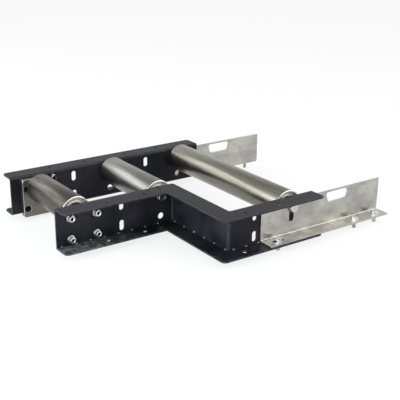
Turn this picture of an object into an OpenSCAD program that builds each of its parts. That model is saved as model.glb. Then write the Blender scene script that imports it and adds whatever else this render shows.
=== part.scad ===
/* [Rails] */
// Length of both rails, from the saw end to the conveyor end
rail_len = 457; // [450:1:480]
// Height of the rails
rail_h = 80; // [76:1:90]
// Width of the flanges, from the inner face of the web
flange_w = 40; // [38:1:46]
// Thickness of the rail plate
rail_t = 3; // [2.5:0.5:4]
// Outer radius of the folds of the far rail
fold_r = 5; // [4.5:0.5:8]
// Outer radius of the two bends of the stepped web
web_bend_r = 7; // [5:1:10]
// Radius of the rounded flange corners
corner_r = 9; // [4:1:12]
// Clear width between the webs in the narrow bay
narrow_w = 202; // [190:1:240]
// Clear width between the webs in the wide bay
wide_w = 388; // [360:1:440]
// Distance from the saw end to the inner face of the step
step_x = 257; // [252:1:262]

/* [Rail holes] */
// Distance from the saw end to the first flange hole
first_hole_x = 98; // [94:1:102]
// Distance between the two flange holes of a pair
hole_pair = 80; // [76:1:84]
// Distance between the two pairs of flange holes
pair_gap = 100; // [98:1:102]
// Distance of the flange holes from the inner face of the web
hole_row = 22; // [20:1:24]
// Diameter of the flange holes
flange_hole_d = 9; // [8.5:0.5:10]
// Height of the lower row of web holes
lower_row_z = 18; // [16:1:20]
// Distance from the saw end to the first upright slot of the straight rail
straight_slot_x = 141; // [138:1:144]
// Distance from the saw end to the first upright slot of the stepped rail
stepped_slot_x = 138; // [136:1:142]
// Distance between the two pairs of upright slots along a rail
slot_span = 177; // [175:1:179]
// Width of the upright slots in the webs
web_slot_w = 10; // [8.5:0.5:11]
// Length of the upright slots in the webs, end to end
web_slot_len = 21; // [18:1:24]
// Diameter of the round holes below the roller axes
round_hole_d = 13; // [11:1:14]
// Diameter of the small hole in the near top flange
pilot_hole_d = 5; // [3:1:6]

/* [Weld beads] */
// Radius of one bead
bead_r = 2.5; // [2:0.5:4]
// Distance from the start of a run to its first bead
bead_start = 10; // [8:1:14]
// Distance between two beads along the rails
bead_pitch = 30; // [24:1:40]
// Distance between two beads along the step
step_bead_pitch = 33.5; // [24:0.5:40]
// Number of beads beside the connection plate
right_beads = 3; // [2:1:4]

/* [Rollers] */
// Outer diameter of the roller tubes
roller_d = 58; // [54:1:60]
// Wall of the roller tubes
tube_wall = 3; // [2:0.5:4]
// Height of the roller axes above the base
roller_z = 60; // [58:1:62]
// Distance from the saw end to the first roller axis
first_roller_x = 51; // [48:1:54]
// Distance between neighbouring roller axes
roller_pitch = 176; // [174:1:178]
// Gap between a roller and the straight rail
far_gap = 11; // [9:1:13]
// Gap between a roller and the stepped rail
near_gap = 6; // [5:1:9]
// Gap between the first roller and the far bearing plate
first_far_gap = 18; // [8:1:20]
// Gap between the first roller and the near bearing plate
first_near_gap = 2; // [1:1:4]
// Depth of the bearing housings inside the tube ends
housing_inset = 4; // [3:1:6]
// Thickness of the lip that covers the bearing
housing_lip = 2; // [1.5:0.5:3]
// Radius of the opening in that lip
lip_hole_r = 15.5; // [14.5:0.5:17]

/* [Axles and bearings] */
// Diameter of the axles
axle_d = 20; // [19:1:21]
// Outer diameter of the ball bearings
bearing_od = 42; // [41:1:43]
// Width of the ball bearings
bearing_w = 12; // [11:1:14]
// Wall of the races between their groove and their seat
race_wall = 2.2; // [2:0.1:2.4]
// Number of balls in a bearing
ball_count = 9; // [7:1:9]
// Thickness of the bearing seals
seal_t = 1.2; // [0.8:0.1:1.5]
// Thickness of the circlips on the axles
circlip_t = 1.2; // [1:0.1:1.5]
// Height of the circlips above the axle
circlip_rise = 2.5; // [2:0.5:3]
// Depth of the circlip groove in the axle
groove_depth = 0.5; // [0.3:0.1:0.8]

/* [Axle bolts] */
// Thread diameter of the axle bolts
axle_bolt_d = 10; // [8:1:12]
// Length of the axle bolt that enters the axle
axle_bolt_grip = 18; // [14:1:24]
// Width of the axle bolt heads across the flats
axle_bolt_af = 17; // [15:1:19]
// Height of the axle bolt heads
axle_bolt_head = 6.5; // [6:0.5:8]
// Outer diameter of the axle bolt washers
axle_washer_d = 20; // [19:1:24]
// Thickness of the axle bolt washers
axle_washer_t = 2; // [1.5:0.5:3]

/* [Bearing plates of the first roller] */
// Width of the plates
bearing_plate_w = 74; // [72:1:78]
// Height of the plates
bearing_plate_h = 80; // [78:1:81]
// Thickness of the plates
bearing_plate_t = 12; // [11:1:14]
// Distance that the plates reach below the rails
plate_drop = 5; // [4:1:6]
// Distance from the saw end to the plates
plate_x = 21; // [20:1:22]
// Radius of the plate corners
plate_corner_r = 4; // [2:1:5]
// Distance from the edge of the plates to the first screws
screw_edge = 8.5; // [8:0.5:10]
// Distance between the screws along the rail
screw_span_x = 54; // [52:1:56]
// Distance between the screws up the plate
screw_span_z = 42.5; // [40:0.5:43]
// How much higher the screws sit on the stepped rail than on the straight rail
near_screw_rise = 1.5; // [0:0.5:2]
// Diameter of the recesses for the screw heads
recess_d = 14.5; // [14:0.5:15.5]
// Depth of the recesses
recess_depth = 9; // [8:0.5:9]
// Radius of the notch in the top edge
notch_r = 9; // [6:1:10]
// Depth of the notch
notch_depth = 5; // [3:1:5]
// Distance from the edge of the plates to the middle of the notch
notch_edge = 61.5; // [59:0.5:63]

/* [Plate screws] */
// Thread diameter of the plate screws and of the flange bolts
screw_d = 8; // [6:1:8]
// Diameter of the cylindrical screw heads
screw_head_d = 13; // [12:0.5:14]
// Height of the cylindrical screw heads
screw_head_h = 8; // [6:1:9]
// Width of the socket across the flats
socket_af = 6; // [5:0.5:6.5]
// Depth of the socket
socket_depth = 4; // [3:0.5:5]
// Gap between the end of a near plate screw and the face of its plate
screw_end_gap = 1; // [0.5:0.5:2]

/* [Connection plates] */
// Distance from the saw end to the connection plates
joint_plate_x = 328; // [326:1:330]
// Length of the connection plates
joint_plate_len = 312; // [308:1:330]
// Height of the connection plates
joint_plate_h = 71; // [69:1:72]
// Width of their foot
joint_foot_w = 35; // [34:1:36]
// Thickness of the sheet
joint_t = 3; // [2.5:0.5:3.5]
// Outer radius of their fold
joint_fold_r = 5; // [4:0.5:6]
// Width of the upright slot round the axle bolt
axle_slot_w = 12; // [11:0.5:14]
// Length of that slot, end to end
axle_slot_len = 40; // [38:1:42]
// Width of the slots in the foot
foot_slot_w = 9; // [8.5:0.5:10]
// Length of the slots in the foot, end to end
foot_slot_len = 25; // [22:1:26]
// Distance from the outer end to the last slot in the foot
end_slot_x = 19; // [17:1:21]
// Distance between the two slots at the outer end
end_slot_span = 58; // [54:1:62]
// Distance of the conveyor's bolts from the middle of their slots, towards the saw
bolt_shift = 3.5; // [0:0.5:5]
// Distance from the outer end to the middle of the window
window_x = 119; // [110:1:124]
// Width of the window along its top edge
window_top_w = 56; // [50:1:58]
// Width of the window along its bottom edge
window_foot_w = 47; // [42:1:50]
// Height of the window
window_h = 20; // [16:1:21]
// Height of the edge above the window
window_edge = 4; // [3.5:0.5:5]
// Radius of the window corners
window_r = 4; // [2:0.5:5]

/* [Flange bolts] */
// Width of the bolt heads and nuts across the flats
bolt_af = 13; // [12:0.5:13]
// Height of the bolt heads
bolt_head_h = 5.5; // [5:0.5:6]
// Height of the nuts
nut_h = 6.5; // [6:0.5:7]
// Outer diameter of the washers below the nuts
washer_d = 16; // [15:1:17]
// Thickness of these washers
washer_t = 1.6; // [1.2:0.2:2]
// Length of thread that shows beyond the nuts
thread_end = 5.5; // [3:0.5:7]

/* [Hidden] */
$fn = 64;

// Small gaps between pieces that are fitted into each other, and between pieces that turn
seat_gap = 0.02;
bore_gap = 0.1;
turning_gap = 0.3;
// How much wider a hole in a web is than the bolt in it
bolt_play = 1;
// How much thinner a thread is than the plain shank of its bolt
thread_relief = 0.4;
// How far a cut runs past the face that it opens
overrun = 1;

// Places along the rails, counted from the saw end
narrow_y = -narrow_w;
wide_y = -wide_w;
hole_xs = [
    first_hole_x,
    first_hole_x + hole_pair,
    first_hole_x + hole_pair + pair_gap,
    first_hole_x + hole_pair + pair_gap + hole_pair
];
seat_bolt_x = hole_xs[3];
roller_xs = [for (i = [0:2]) first_roller_x + i * roller_pitch];
far_slot_xs = [for (i = [0:1]) straight_slot_x + i * slot_span];
near_slot_xs = [for (i = [0:1]) stepped_slot_x + i * slot_span];
pilot_hole_x = hole_xs[2] + hole_pair / 4;
pilot_hole_y = wide_y - hole_row + pilot_hole_d / 2;
near_hole_ys = [for (x = hole_xs) (x < step_x ? narrow_y : wide_y) - hole_row];

// The origin is the middle of the four base holes nearest the saw
origin_x = (hole_xs[0] + hole_xs[1]) / 2;
origin_y = -narrow_w / 2;

// Bearing plates: their screws stand in a rectangle, their lower washers just clear the fold
far_screw_z = fold_r + washer_d / 2;
near_screw_z = far_screw_z + near_screw_rise;
screw_xs = [plate_x + screw_edge, plate_x + screw_edge + screw_span_x];
far_plate_holes = [for (x = screw_xs, z = [far_screw_z, far_screw_z + screw_span_z]) [x, z]];
near_plate_holes = [for (x = screw_xs, z = [near_screw_z, near_screw_z + screw_span_z]) [x, z]];
notch_x = plate_x + notch_edge;
notch_z = bearing_plate_h - plate_drop + notch_r - notch_depth;
far_head_y = recess_depth - bearing_plate_t;
far_screw_len = rail_t - far_head_y + washer_t + nut_h + thread_end;
near_screw_len = washer_t + rail_t + bearing_plate_t - screw_end_gap;

// Ends of each roller tube and of each axle, far end first
tube_ends = [
    [-bearing_plate_t - first_far_gap, narrow_y + bearing_plate_t + first_near_gap],
    [-far_gap, narrow_y + near_gap],
    [-far_gap, wide_y + near_gap]
];
axle_ends = [[0, narrow_y], [0, narrow_y], [0, wide_y]];

// Bearing sections, as radii
tube_in_r = roller_d / 2 - tube_wall;
axle_r = axle_d / 2;
race_out_r = bearing_od / 2;
pitch_r = (axle_r + race_out_r) / 2;
groove_r = pitch_r - axle_r - race_wall;
ball_r = groove_r - turning_gap;
land = ball_r * 2 / 3;
inner_land_r = pitch_r - land;
outer_land_r = pitch_r + land;
cage_half = ball_r / 3;
bearing_z = housing_inset + housing_lip;

// Connection plates
far_outer_y = rail_t;
near_outer_y = wide_y - rail_t;
joint_end_x = joint_plate_x + joint_plate_len;
joint_top_z = rail_t + joint_plate_h;
foot_slot_xs = [
    seat_bolt_x,
    joint_end_x - end_slot_x - end_slot_span,
    joint_end_x - end_slot_x
];
foot_slot_y = hole_row - rail_t;
foot_top_z = rail_t + joint_t;
axle_slot_z = roller_z - axle_slot_len / 4;

// Lengths of the bolts, from under the head
seat_bolt_len = joint_t + rail_t + washer_t + nut_h + thread_end;
axle_bolt_len = axle_washer_t + rail_t + axle_bolt_grip;

module far_rail() {
    color("#3b3a40") difference() {
        rotate([90, 0, 90])
            linear_extrude(rail_len)
                channel_profile(rail_h, flange_w, rail_t, fold_r);
        for (x = hole_xs) {
            upright_hole(x, hole_row, flange_hole_d, 0, rail_h);
        }
        web_holes(far_slot_xs, [roller_xs[1], roller_xs[2]], 0);
        screw_holes(far_plate_holes, 0);
        translate([0, 0, -overrun])
            linear_extrude(rail_h + 2 * overrun) {
                round_off([0, flange_w], 270, corner_r);
                round_off([rail_len, flange_w], 180, corner_r);
            }
    }
}

module near_rail_web() {
    color("#2f3238") difference() {
        translate([0, 0, rail_t])
            linear_extrude(rail_h - 2 * rail_t)
                stepped_web_plan();
        web_holes([near_slot_xs[0]], [roller_xs[1]], narrow_y - rail_t);
        web_holes([near_slot_xs[1]], [roller_xs[2]], wide_y - rail_t);
        screw_holes(near_plate_holes, narrow_y - rail_t);
    }
}

module near_rail_top_flange() {
    color("#48464d") difference() {
        translate([0, 0, rail_h - rail_t])
            linear_extrude(rail_t)
                stepped_flange_plan();
        upright_hole(pilot_hole_x, pilot_hole_y, pilot_hole_d, rail_h - rail_t, rail_t);
    }
}

module near_rail_bottom_flange() {
    color("#2c2c31") linear_extrude(rail_t) stepped_flange_plan();
}

// Short beads hold the web to both flanges, in the corner on the outer side
module near_rail_weld_beads() {
    left_run = step_x - web_bend_r - bead_r - turning_gap;
    step_run = wide_w - narrow_w - web_bend_r;
    right_run = joint_plate_x - step_x - bead_r - turning_gap;
    color("#55545a") for (top = [false, true]) {
        for (x = [bead_start:bead_pitch:left_run]) {
            bead([x, narrow_y - rail_t], 180, top);
        }
        for (s = [bead_start:step_bead_pitch:step_run]) {
            bead([step_x - rail_t, narrow_y - rail_t - s], 90, top);
        }
        for (i = [0:right_beads - 1]) {
            s = bead_start + (right_run - bead_start) * i / (right_beads - 1);
            bead([step_x + s, wide_y - rail_t], 180, top);
        }
    }
}

module far_bearing_plate() {
    color("#b5b1a6") bearing_plate(far_plate_holes, true);
}

module near_bearing_plate() {
    color("#b5b1a6")
        translate([0, narrow_y, 0])
            mirror([0, 1, 0])
                bearing_plate(near_plate_holes, false);
}

module far_plate_screws() {
    color("#2a2a2c") at_plate_holes(far_plate_holes, far_head_y, 90) {
        socket_screw(far_screw_len);
    }
}

module far_plate_washers() {
    color("#c9c9c9") at_plate_holes(far_plate_holes, rail_t, -90) {
        ring(screw_d / 2 + bore_gap, washer_d / 2, washer_t);
    }
}

module far_plate_nuts() {
    color("#c9c9c9") at_plate_holes(far_plate_holes, rail_t + washer_t, -90) {
        hex_nut(screw_d, bolt_af, nut_h);
    }
}

module near_plate_screws() {
    color("#c9c9c9") at_plate_holes(near_plate_holes, narrow_y - rail_t - washer_t, 90) {
        socket_screw(near_screw_len);
    }
}

module near_plate_washers() {
    color("#c9c9c9") at_plate_holes(near_plate_holes, narrow_y - rail_t, 90) {
        ring(screw_d / 2 + bore_gap, washer_d / 2, washer_t);
    }
}

module far_connection_plate() {
    color("#c8c5bb") translate([0, far_outer_y, 0]) connection_plate();
}

module near_connection_plate() {
    color("#c8c5bb")
        translate([0, near_outer_y, 0])
            mirror([0, 1, 0])
                connection_plate();
}

module seat_bolts() {
    color("#c4c4c4") at_foot_slots([0]) {
        translate([0, 0, foot_top_z])
            hex_bolt(screw_d, seat_bolt_len, joint_t, bolt_af, bolt_head_h);
    }
}

module seat_bolt_washers() {
    color("#c4c4c4") at_foot_slots([0]) {
        translate([0, 0, -washer_t])
            ring(screw_d / 2 + bore_gap, washer_d / 2, washer_t);
    }
}

module seat_bolt_nuts() {
    color("#c4c4c4") at_foot_slots([0]) {
        translate([0, 0, -washer_t - nut_h])
            hex_nut(screw_d, bolt_af, nut_h);
    }
}

module conveyor_bolts() {
    color("#c4c4c4") at_foot_slots([1, 2]) {
        translate([-bolt_shift, 0, foot_top_z])
            hex_bolt(screw_d, seat_bolt_len, joint_t, bolt_af, bolt_head_h);
    }
}

module axle_bolts() {
    color("#c4c4c4") at_axle_bolts() {
        translate([0, 0, axle_washer_t])
            hex_bolt(axle_bolt_d, axle_bolt_len, axle_washer_t, axle_bolt_af, axle_bolt_head);
    }
}

module axle_bolt_washers() {
    color("#c4c4c4") at_axle_bolts() {
        ring(axle_bolt_d / 2 + bore_gap, axle_washer_d / 2, axle_washer_t);
    }
}

module roller_axle(i) {
    len = axle_ends[i][0] - axle_ends[i][1];
    near_groove = tube_ends[i][1] - axle_ends[i][1] + bearing_z - circlip_t;
    far_groove = axle_ends[i][0] - tube_ends[i][0] + bearing_z - circlip_t;
    tapped = i > 0;
    color("#9d9d9d")
        translate([roller_xs[i], axle_ends[i][1], roller_z])
            rotate([-90, 0, 0])
                difference() {
                    cylinder(h = len, r = axle_r);
                    axle_groove(near_groove);
                    translate([0, 0, len])
                        mirror([0, 0, 1])
                            axle_groove(far_groove);
                    if (tapped) {
                        both_ends(len)
                            translate([0, 0, -overrun])
                                cylinder(
                                    h = axle_bolt_grip + axle_bolt_d / 2 + overrun,
                                    r = axle_bolt_d / 2 + bore_gap
                                );
                    }
                }
}

module roller_circlips(i) {
    color("#5a5a5e") on_roller(i) {
        translate([0, 0, bearing_z - circlip_t])
            circlip();
    }
}

module roller_inner_races(i) {
    color("#d2d2d6") on_roller(i) {
        translate([0, 0, bearing_z])
            race(axle_r + seat_gap, inner_land_r);
    }
}

module roller_outer_races(i) {
    color("#d2d2d6") on_roller(i) {
        translate([0, 0, bearing_z])
            race(outer_land_r, race_out_r - seat_gap);
    }
}

module roller_ball_sets(i) {
    color("#e0e0e4") on_roller(i) {
        translate([0, 0, bearing_z + bearing_w / 2]) {
            translate([0, 0, -cage_half])
                ring(pitch_r - cage_half, pitch_r + cage_half, 2 * cage_half);
            for (k = [0:ball_count - 1]) {
                rotate(360 / ball_count * k)
                    translate([pitch_r, 0, 0])
                        sphere(r = ball_r);
            }
        }
    }
}

module roller_seals(i) {
    color("#303030") on_roller(i) {
        for (z = [0, bearing_w - seal_t]) {
            translate([0, 0, bearing_z + z])
                ring(inner_land_r + turning_gap, outer_land_r - seat_gap, seal_t);
        }
    }
}

module roller_housings(i) {
    color("#bdbab0") on_roller(i) {
        translate([0, 0, housing_inset])
            rotate_extrude()
                polygon([
                    [lip_hole_r, 0],
                    [tube_in_r - seat_gap, 0],
                    [tube_in_r - seat_gap, housing_lip + bearing_w],
                    [race_out_r, housing_lip + bearing_w],
                    [race_out_r, housing_lip],
                    [lip_hole_r, housing_lip]
                ]);
    }
}

module roller_tube(i) {
    len = tube_ends[i][0] - tube_ends[i][1];
    bevel = tube_wall / 6;
    out_r = roller_d / 2;
    color("#c6c3b8")
        translate([roller_xs[i], tube_ends[i][1], roller_z])
            rotate([-90, 0, 0])
                rotate_extrude()
                    polygon([
                        [tube_in_r, 0],
                        [out_r - bevel, 0],
                        [out_r, bevel],
                        [out_r, len - bevel],
                        [out_r - bevel, len],
                        [tube_in_r, len]
                    ]);
}

// Takes the sharp point off a corner whose material lies in the quadrant turned by the angle
module round_off(corner, turn, r) {
    translate(corner)
        rotate(turn)
            difference() {
                translate([-overrun, -overrun])
                    square(r + overrun);
                translate([r, r])
                    circle(r = r);
            }
}

// Fills an inner corner whose open side is the quadrant turned by the angle
module fill_in(corner, turn, r) {
    translate(corner)
        rotate(turn)
            difference() {
                square(r);
                translate([r, r])
                    circle(r = r);
            }
}

// Outline round a ring of circles, drawn through their centres anticlockwise
module rounded_outline(centres, r) {
    last = len(centres) - 1;
    sides = [
        for (i = [0:last])
            let (a = centres[i], b = centres[i == last ? 0 : i + 1], d = (b - a) / norm(b - a))
                for (p = [a, b]) p + r * [d[1], -d[0]]
    ];
    polygon(sides);
    for (c = centres) {
        translate(c)
            circle(r = r);
    }
}

module channel_profile(h, w, t, r) {
    difference() {
        union() {
            square([t, h]);
            square([w, t]);
            translate([0, h - t])
                square([w, t]);
            fill_in([t, t], 0, r - t);
            fill_in([t, h - t], 270, r - t);
        }
        round_off([0, 0], 0, r);
        round_off([0, h], 270, r);
    }
}

// The web of the near rail, seen from above: a strip with two bends
module stepped_web_plan() {
    difference() {
        union() {
            translate([0, narrow_y - rail_t])
                square([step_x, rail_t]);
            translate([step_x - rail_t, wide_y - rail_t])
                square([rail_t, wide_w - narrow_w + rail_t]);
            translate([step_x - rail_t, wide_y - rail_t])
                square([rail_len - step_x + rail_t, rail_t]);
            fill_in([step_x - rail_t, narrow_y - rail_t], 180, web_bend_r - rail_t);
            fill_in([step_x, wide_y], 0, web_bend_r - rail_t);
        }
        round_off([step_x, narrow_y], 180, web_bend_r);
        round_off([step_x - rail_t, wide_y - rail_t], 0, web_bend_r);
    }
}

// The flanges of the near rail, seen from above
module stepped_flange_plan() {
    difference() {
        union() {
            polygon([
                [0, narrow_y],
                [0, narrow_y - flange_w],
                [step_x - flange_w, narrow_y - flange_w],
                [step_x - flange_w, wide_y - flange_w],
                [rail_len, wide_y - flange_w],
                [rail_len, wide_y],
                [step_x, wide_y],
                [step_x, narrow_y]
            ]);
            fill_in([step_x, wide_y], 0, web_bend_r - rail_t);
        }
        round_off([step_x, narrow_y], 180, web_bend_r);
        round_off([0, narrow_y - flange_w], 0, corner_r);
        round_off([step_x - flange_w, wide_y - flange_w], 0, corner_r);
        round_off([rail_len, wide_y - flange_w], 90, corner_r);
        for (i = [0:3]) {
            translate([hole_xs[i], near_hole_ys[i]])
                circle(d = flange_hole_d);
        }
    }
}

module upright_hole(x, y, d, z, h) {
    translate([x, y, z - overrun])
        cylinder(h = h + 2 * overrun, d = d);
}

// Cuts through a web whose low side in Y is at y, along Y
module web_cut(x, y, z) {
    translate([x, y + rail_t + overrun, z])
        rotate([90, 0, 0])
            linear_extrude(rail_t + 2 * overrun)
                children();
}

module web_holes(columns, rollers, y) {
    reach = (web_slot_len - web_slot_w) / 2;
    for (x = columns, z = [lower_row_z, roller_z]) {
        web_cut(x, y, z)
            rounded_outline([[0, -reach], [0, reach]], web_slot_w / 2);
    }
    for (x = rollers) {
        web_cut(x, y, lower_row_z)
            circle(d = round_hole_d);
        web_cut(x, y, roller_z)
            circle(d = axle_bolt_d + bolt_play);
    }
}

module screw_holes(holes, y) {
    for (p = holes) {
        web_cut(p[0], y, p[1])
            circle(d = screw_d + bolt_play);
    }
}

// A quarter ball in the corner between web and flange
module bead(at, turn, top) {
    translate([at[0], at[1], top ? rail_h - rail_t : rail_t])
        rotate(turn)
            mirror([0, 0, top ? 1 : 0])
                intersection() {
                    sphere(r = bead_r);
                    translate([-bead_r, 0, 0])
                        cube([2 * bead_r, bead_r, bead_r]);
                }
}

// A plate against a web whose face is at y = 0, standing towards the roller
module bearing_plate(holes, recessed) {
    top_z = bearing_plate_h - plate_drop;
    rotate([90, 0, 0])
        difference() {
            linear_extrude(bearing_plate_t)
                difference() {
                    translate([plate_x, -plate_drop])
                        square([bearing_plate_w, bearing_plate_h]);
                    round_off([plate_x, -plate_drop], 0, plate_corner_r);
                    round_off([plate_x + bearing_plate_w, -plate_drop], 90, plate_corner_r);
                    round_off([plate_x + bearing_plate_w, top_z], 180, plate_corner_r);
                    round_off([plate_x, top_z], 270, plate_corner_r);
                    translate([notch_x, notch_z])
                        circle(r = notch_r);
                }
            translate([roller_xs[0], roller_z, -overrun])
                cylinder(h = bearing_plate_t + 2 * overrun, r = axle_r + bore_gap);
            for (p = holes) {
                translate([p[0], p[1], -overrun])
                    cylinder(h = bearing_plate_t + 2 * overrun, d = screw_d + 2 * bore_gap);
                if (recessed) {
                    translate([p[0], p[1], bearing_plate_t - recess_depth])
                        cylinder(h = recess_depth + overrun, d = recess_d);
                }
            }
        }
}

// An angle against a web whose face is at y = 0, with its foot on the bottom flange
module connection_plate() {
    slot_reach = (axle_slot_len - axle_slot_w) / 2;
    foot_reach = (foot_slot_len - foot_slot_w) / 2;
    window_z = joint_top_z - window_edge - window_h;
    mid_x = joint_end_x - window_x;
    difference() {
        translate([joint_plate_x, 0, rail_t])
            rotate([90, 0, 90])
                linear_extrude(joint_plate_len)
                    angle_profile(joint_plate_h, joint_foot_w, joint_t, joint_fold_r);
        sheet_cut(roller_xs[2], axle_slot_z)
            rounded_outline([[0, -slot_reach], [0, slot_reach]], axle_slot_w / 2);
        sheet_cut(mid_x, window_z)
            rounded_outline([
                [-window_foot_w / 2 + window_r, window_r],
                [window_foot_w / 2 - window_r, window_r],
                [window_top_w / 2 - window_r, window_h - window_r],
                [-window_top_w / 2 + window_r, window_h - window_r]
            ], window_r);
        for (x = foot_slot_xs) {
            translate([x, foot_slot_y, rail_t - overrun])
                linear_extrude(joint_t + 2 * overrun)
                    rounded_outline([[-foot_reach, 0], [foot_reach, 0]], foot_slot_w / 2);
        }
    }
}

module angle_profile(h, w, t, r) {
    difference() {
        union() {
            square([t, h]);
            square([w, t]);
            fill_in([t, t], 0, r - t);
        }
        round_off([0, 0], 0, r);
    }
}

module sheet_cut(x, z) {
    translate([x, joint_t + overrun, z])
        rotate([90, 0, 0])
            linear_extrude(joint_t + 2 * overrun)
                children();
}

// Puts a piece at each hole of a bearing plate, its foot at y, turned to point along Y
module at_plate_holes(holes, y, turn) {
    for (p = holes) {
        translate([p[0], y, p[1]])
            rotate([turn, 0, 0])
                children();
    }
}

// Puts a piece at both webs at each of the chosen slots in the feet
module at_foot_slots(which) {
    for (i = which, y = [far_outer_y + foot_slot_y, near_outer_y - foot_slot_y]) {
        translate([foot_slot_xs[i], y, 0])
            children();
    }
}

// Puts a piece at the outer face at both ends of the second and third axles, pointing outwards
module at_axle_bolts() {
    for (i = [1, 2]) {
        skin = rail_t + (i == 2 ? joint_t : 0);
        translate([roller_xs[i], axle_ends[i][0] + skin, roller_z])
            rotate([-90, 0, 0])
                children();
        translate([roller_xs[i], axle_ends[i][1] - skin, roller_z])
            rotate([90, 0, 0])
                children();
    }
}

module both_ends(len) {
    children();
    translate([0, 0, len])
        mirror([0, 0, 1])
            children();
}

// Puts a piece in both ends of a roller tube, pointing inwards
module on_roller(i) {
    translate([roller_xs[i], tube_ends[i][1], roller_z])
        rotate([-90, 0, 0])
            both_ends(tube_ends[i][0] - tube_ends[i][1])
                children();
}

module ring(in_r, out_r, h) {
    difference() {
        cylinder(h = h, r = out_r);
        translate([0, 0, -overrun])
            cylinder(h = h + 2 * overrun, r = in_r);
    }
}

module race(in_r, out_r) {
    difference() {
        ring(in_r, out_r, bearing_w);
        translate([0, 0, bearing_w / 2])
            rotate_extrude()
                translate([pitch_r, 0])
                    circle(r = groove_r);
    }
}

module axle_groove(z) {
    translate([0, 0, z])
        ring(axle_r - groove_depth, axle_r + overrun, circlip_t);
}

module circlip() {
    out_r = axle_r + circlip_rise;
    difference() {
        ring(axle_r - groove_depth + seat_gap, out_r, circlip_t);
        translate([-circlip_rise, 0, -overrun])
            cube([2 * circlip_rise, out_r + overrun, circlip_t + 2 * overrun]);
    }
}

module socket_screw(len) {
    difference() {
        union() {
            cylinder(h = screw_head_h, d = screw_head_d);
            translate([0, 0, -len])
                cylinder(h = len, d = screw_d);
        }
        translate([0, 0, screw_head_h - socket_depth])
            hexagon(socket_af, socket_depth + overrun);
    }
}

// A six-sided prism, given its width across the flats
module hexagon(flats, h) {
    cylinder(h = h, r = flats / 2 / cos(30), $fn = 6);
}

module hex_bolt(d, len, plain_len, flats, head_h) {
    hexagon(flats, head_h);
    translate([0, 0, -plain_len])
        cylinder(h = plain_len, d = d);
    translate([0, 0, -len])
        cylinder(h = len, d = d - thread_relief);
}

module hex_nut(d, flats, h) {
    difference() {
        hexagon(flats, h);
        translate([0, 0, -overrun])
            cylinder(h = h + 2 * overrun, d = d + 2 * bore_gap);
    }
}

// Moves a piece from the saw end of the far web to the frame of the whole table
module placed() {
    translate([-origin_x, -origin_y, 0])
        children();
}

placed() far_rail();
placed() near_rail_web();
placed() near_rail_top_flange();
placed() near_rail_bottom_flange();
placed() near_rail_weld_beads();
placed() far_bearing_plate();
placed() near_bearing_plate();
placed() far_plate_screws();
placed() near_plate_screws();
placed() far_plate_washers();
placed() near_plate_washers();
placed() far_plate_nuts();
placed() far_connection_plate();
placed() near_connection_plate();
placed() seat_bolts();
placed() seat_bolt_washers();
placed() seat_bolt_nuts();
placed() conveyor_bolts();
placed() axle_bolts();
placed() axle_bolt_washers();
placed() roller_axle(0);  // roller_1_axle
placed() roller_circlips(0);  // roller_1_circlips
placed() roller_inner_races(0);  // roller_1_inner_races
placed() roller_tube(0);  // roller_1_tube
placed() roller_housings(0);  // roller_1_housings
placed() roller_outer_races(0);  // roller_1_outer_races
placed() roller_ball_sets(0);  // roller_1_ball_sets
placed() roller_seals(0);  // roller_1_seals
placed() roller_axle(1);  // roller_2_axle
placed() roller_circlips(1);  // roller_2_circlips
placed() roller_inner_races(1);  // roller_2_inner_races
placed() roller_tube(1);  // roller_2_tube
placed() roller_housings(1);  // roller_2_housings
placed() roller_outer_races(1);  // roller_2_outer_races
placed() roller_ball_sets(1);  // roller_2_ball_sets
placed() roller_seals(1);  // roller_2_seals
placed() roller_axle(2);  // roller_3_axle
placed() roller_circlips(2);  // roller_3_circlips
placed() roller_inner_races(2);  // roller_3_inner_races
placed() roller_tube(2);  // roller_3_tube
placed() roller_housings(2);  // roller_3_housings
placed() roller_outer_races(2);  // roller_3_outer_races
placed() roller_ball_sets(2);  // roller_3_ball_sets
placed() roller_seals(2);  // roller_3_seals
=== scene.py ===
"""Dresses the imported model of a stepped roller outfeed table.

The table is a short bridge behind a workshop saw. Two powder-coated rails, one straight and one
stepped, carry three idle rollers. Plated bearing plates hold the first roller, and plated angle
brackets with standing bolts reach out past the free end. Every length is in millimetres, counted
from the saw end of the straight rail, until a piece is finished.
"""

import functools
import logging
import math
import sys
from dataclasses import dataclass
from enum import Enum
from typing import Iterable, Sequence

import bmesh
import bpy
from mathutils import Matrix, Vector, noise


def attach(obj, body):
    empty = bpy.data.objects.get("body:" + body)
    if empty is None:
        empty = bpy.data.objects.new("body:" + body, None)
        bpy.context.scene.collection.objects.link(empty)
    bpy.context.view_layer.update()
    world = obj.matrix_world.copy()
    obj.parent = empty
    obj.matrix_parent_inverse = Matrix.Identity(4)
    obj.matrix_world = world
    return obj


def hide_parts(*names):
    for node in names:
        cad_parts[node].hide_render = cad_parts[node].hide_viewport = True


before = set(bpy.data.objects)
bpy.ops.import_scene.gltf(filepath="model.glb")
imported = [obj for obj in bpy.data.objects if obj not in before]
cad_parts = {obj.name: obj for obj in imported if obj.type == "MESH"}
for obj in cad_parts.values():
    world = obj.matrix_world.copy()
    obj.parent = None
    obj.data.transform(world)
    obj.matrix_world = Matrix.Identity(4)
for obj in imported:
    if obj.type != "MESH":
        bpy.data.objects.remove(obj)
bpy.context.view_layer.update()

Point = tuple[float, float, float]
Colour = tuple[float, float, float]
Span = tuple[float, float]
Outline = Sequence[tuple[float, float]]
Face = bmesh.types.BMFace
Socket = bpy.types.NodeSocket

LOG = logging.getLogger("outfeed_table")
# Face mark of eased edges, folds and tube ends, which the finishes lighten: partly wear and bare
# steel, partly a painted highlight
EDGE_WEAR_AND_HIGHLIGHT = "edge_wear_and_highlight"
# Face mark of sockets, bores and recesses, which the finishes darken as painted shade
SHADED = "painted_recess_shade"
MM = 0.001
SIXTH = math.radians(60.0)
# Distance within which a point counts as level with another
LEVEL = 1e-3
# Where the model's own origin lies
ORIGIN = Vector((138.0, -101.0, 0.0))
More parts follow.
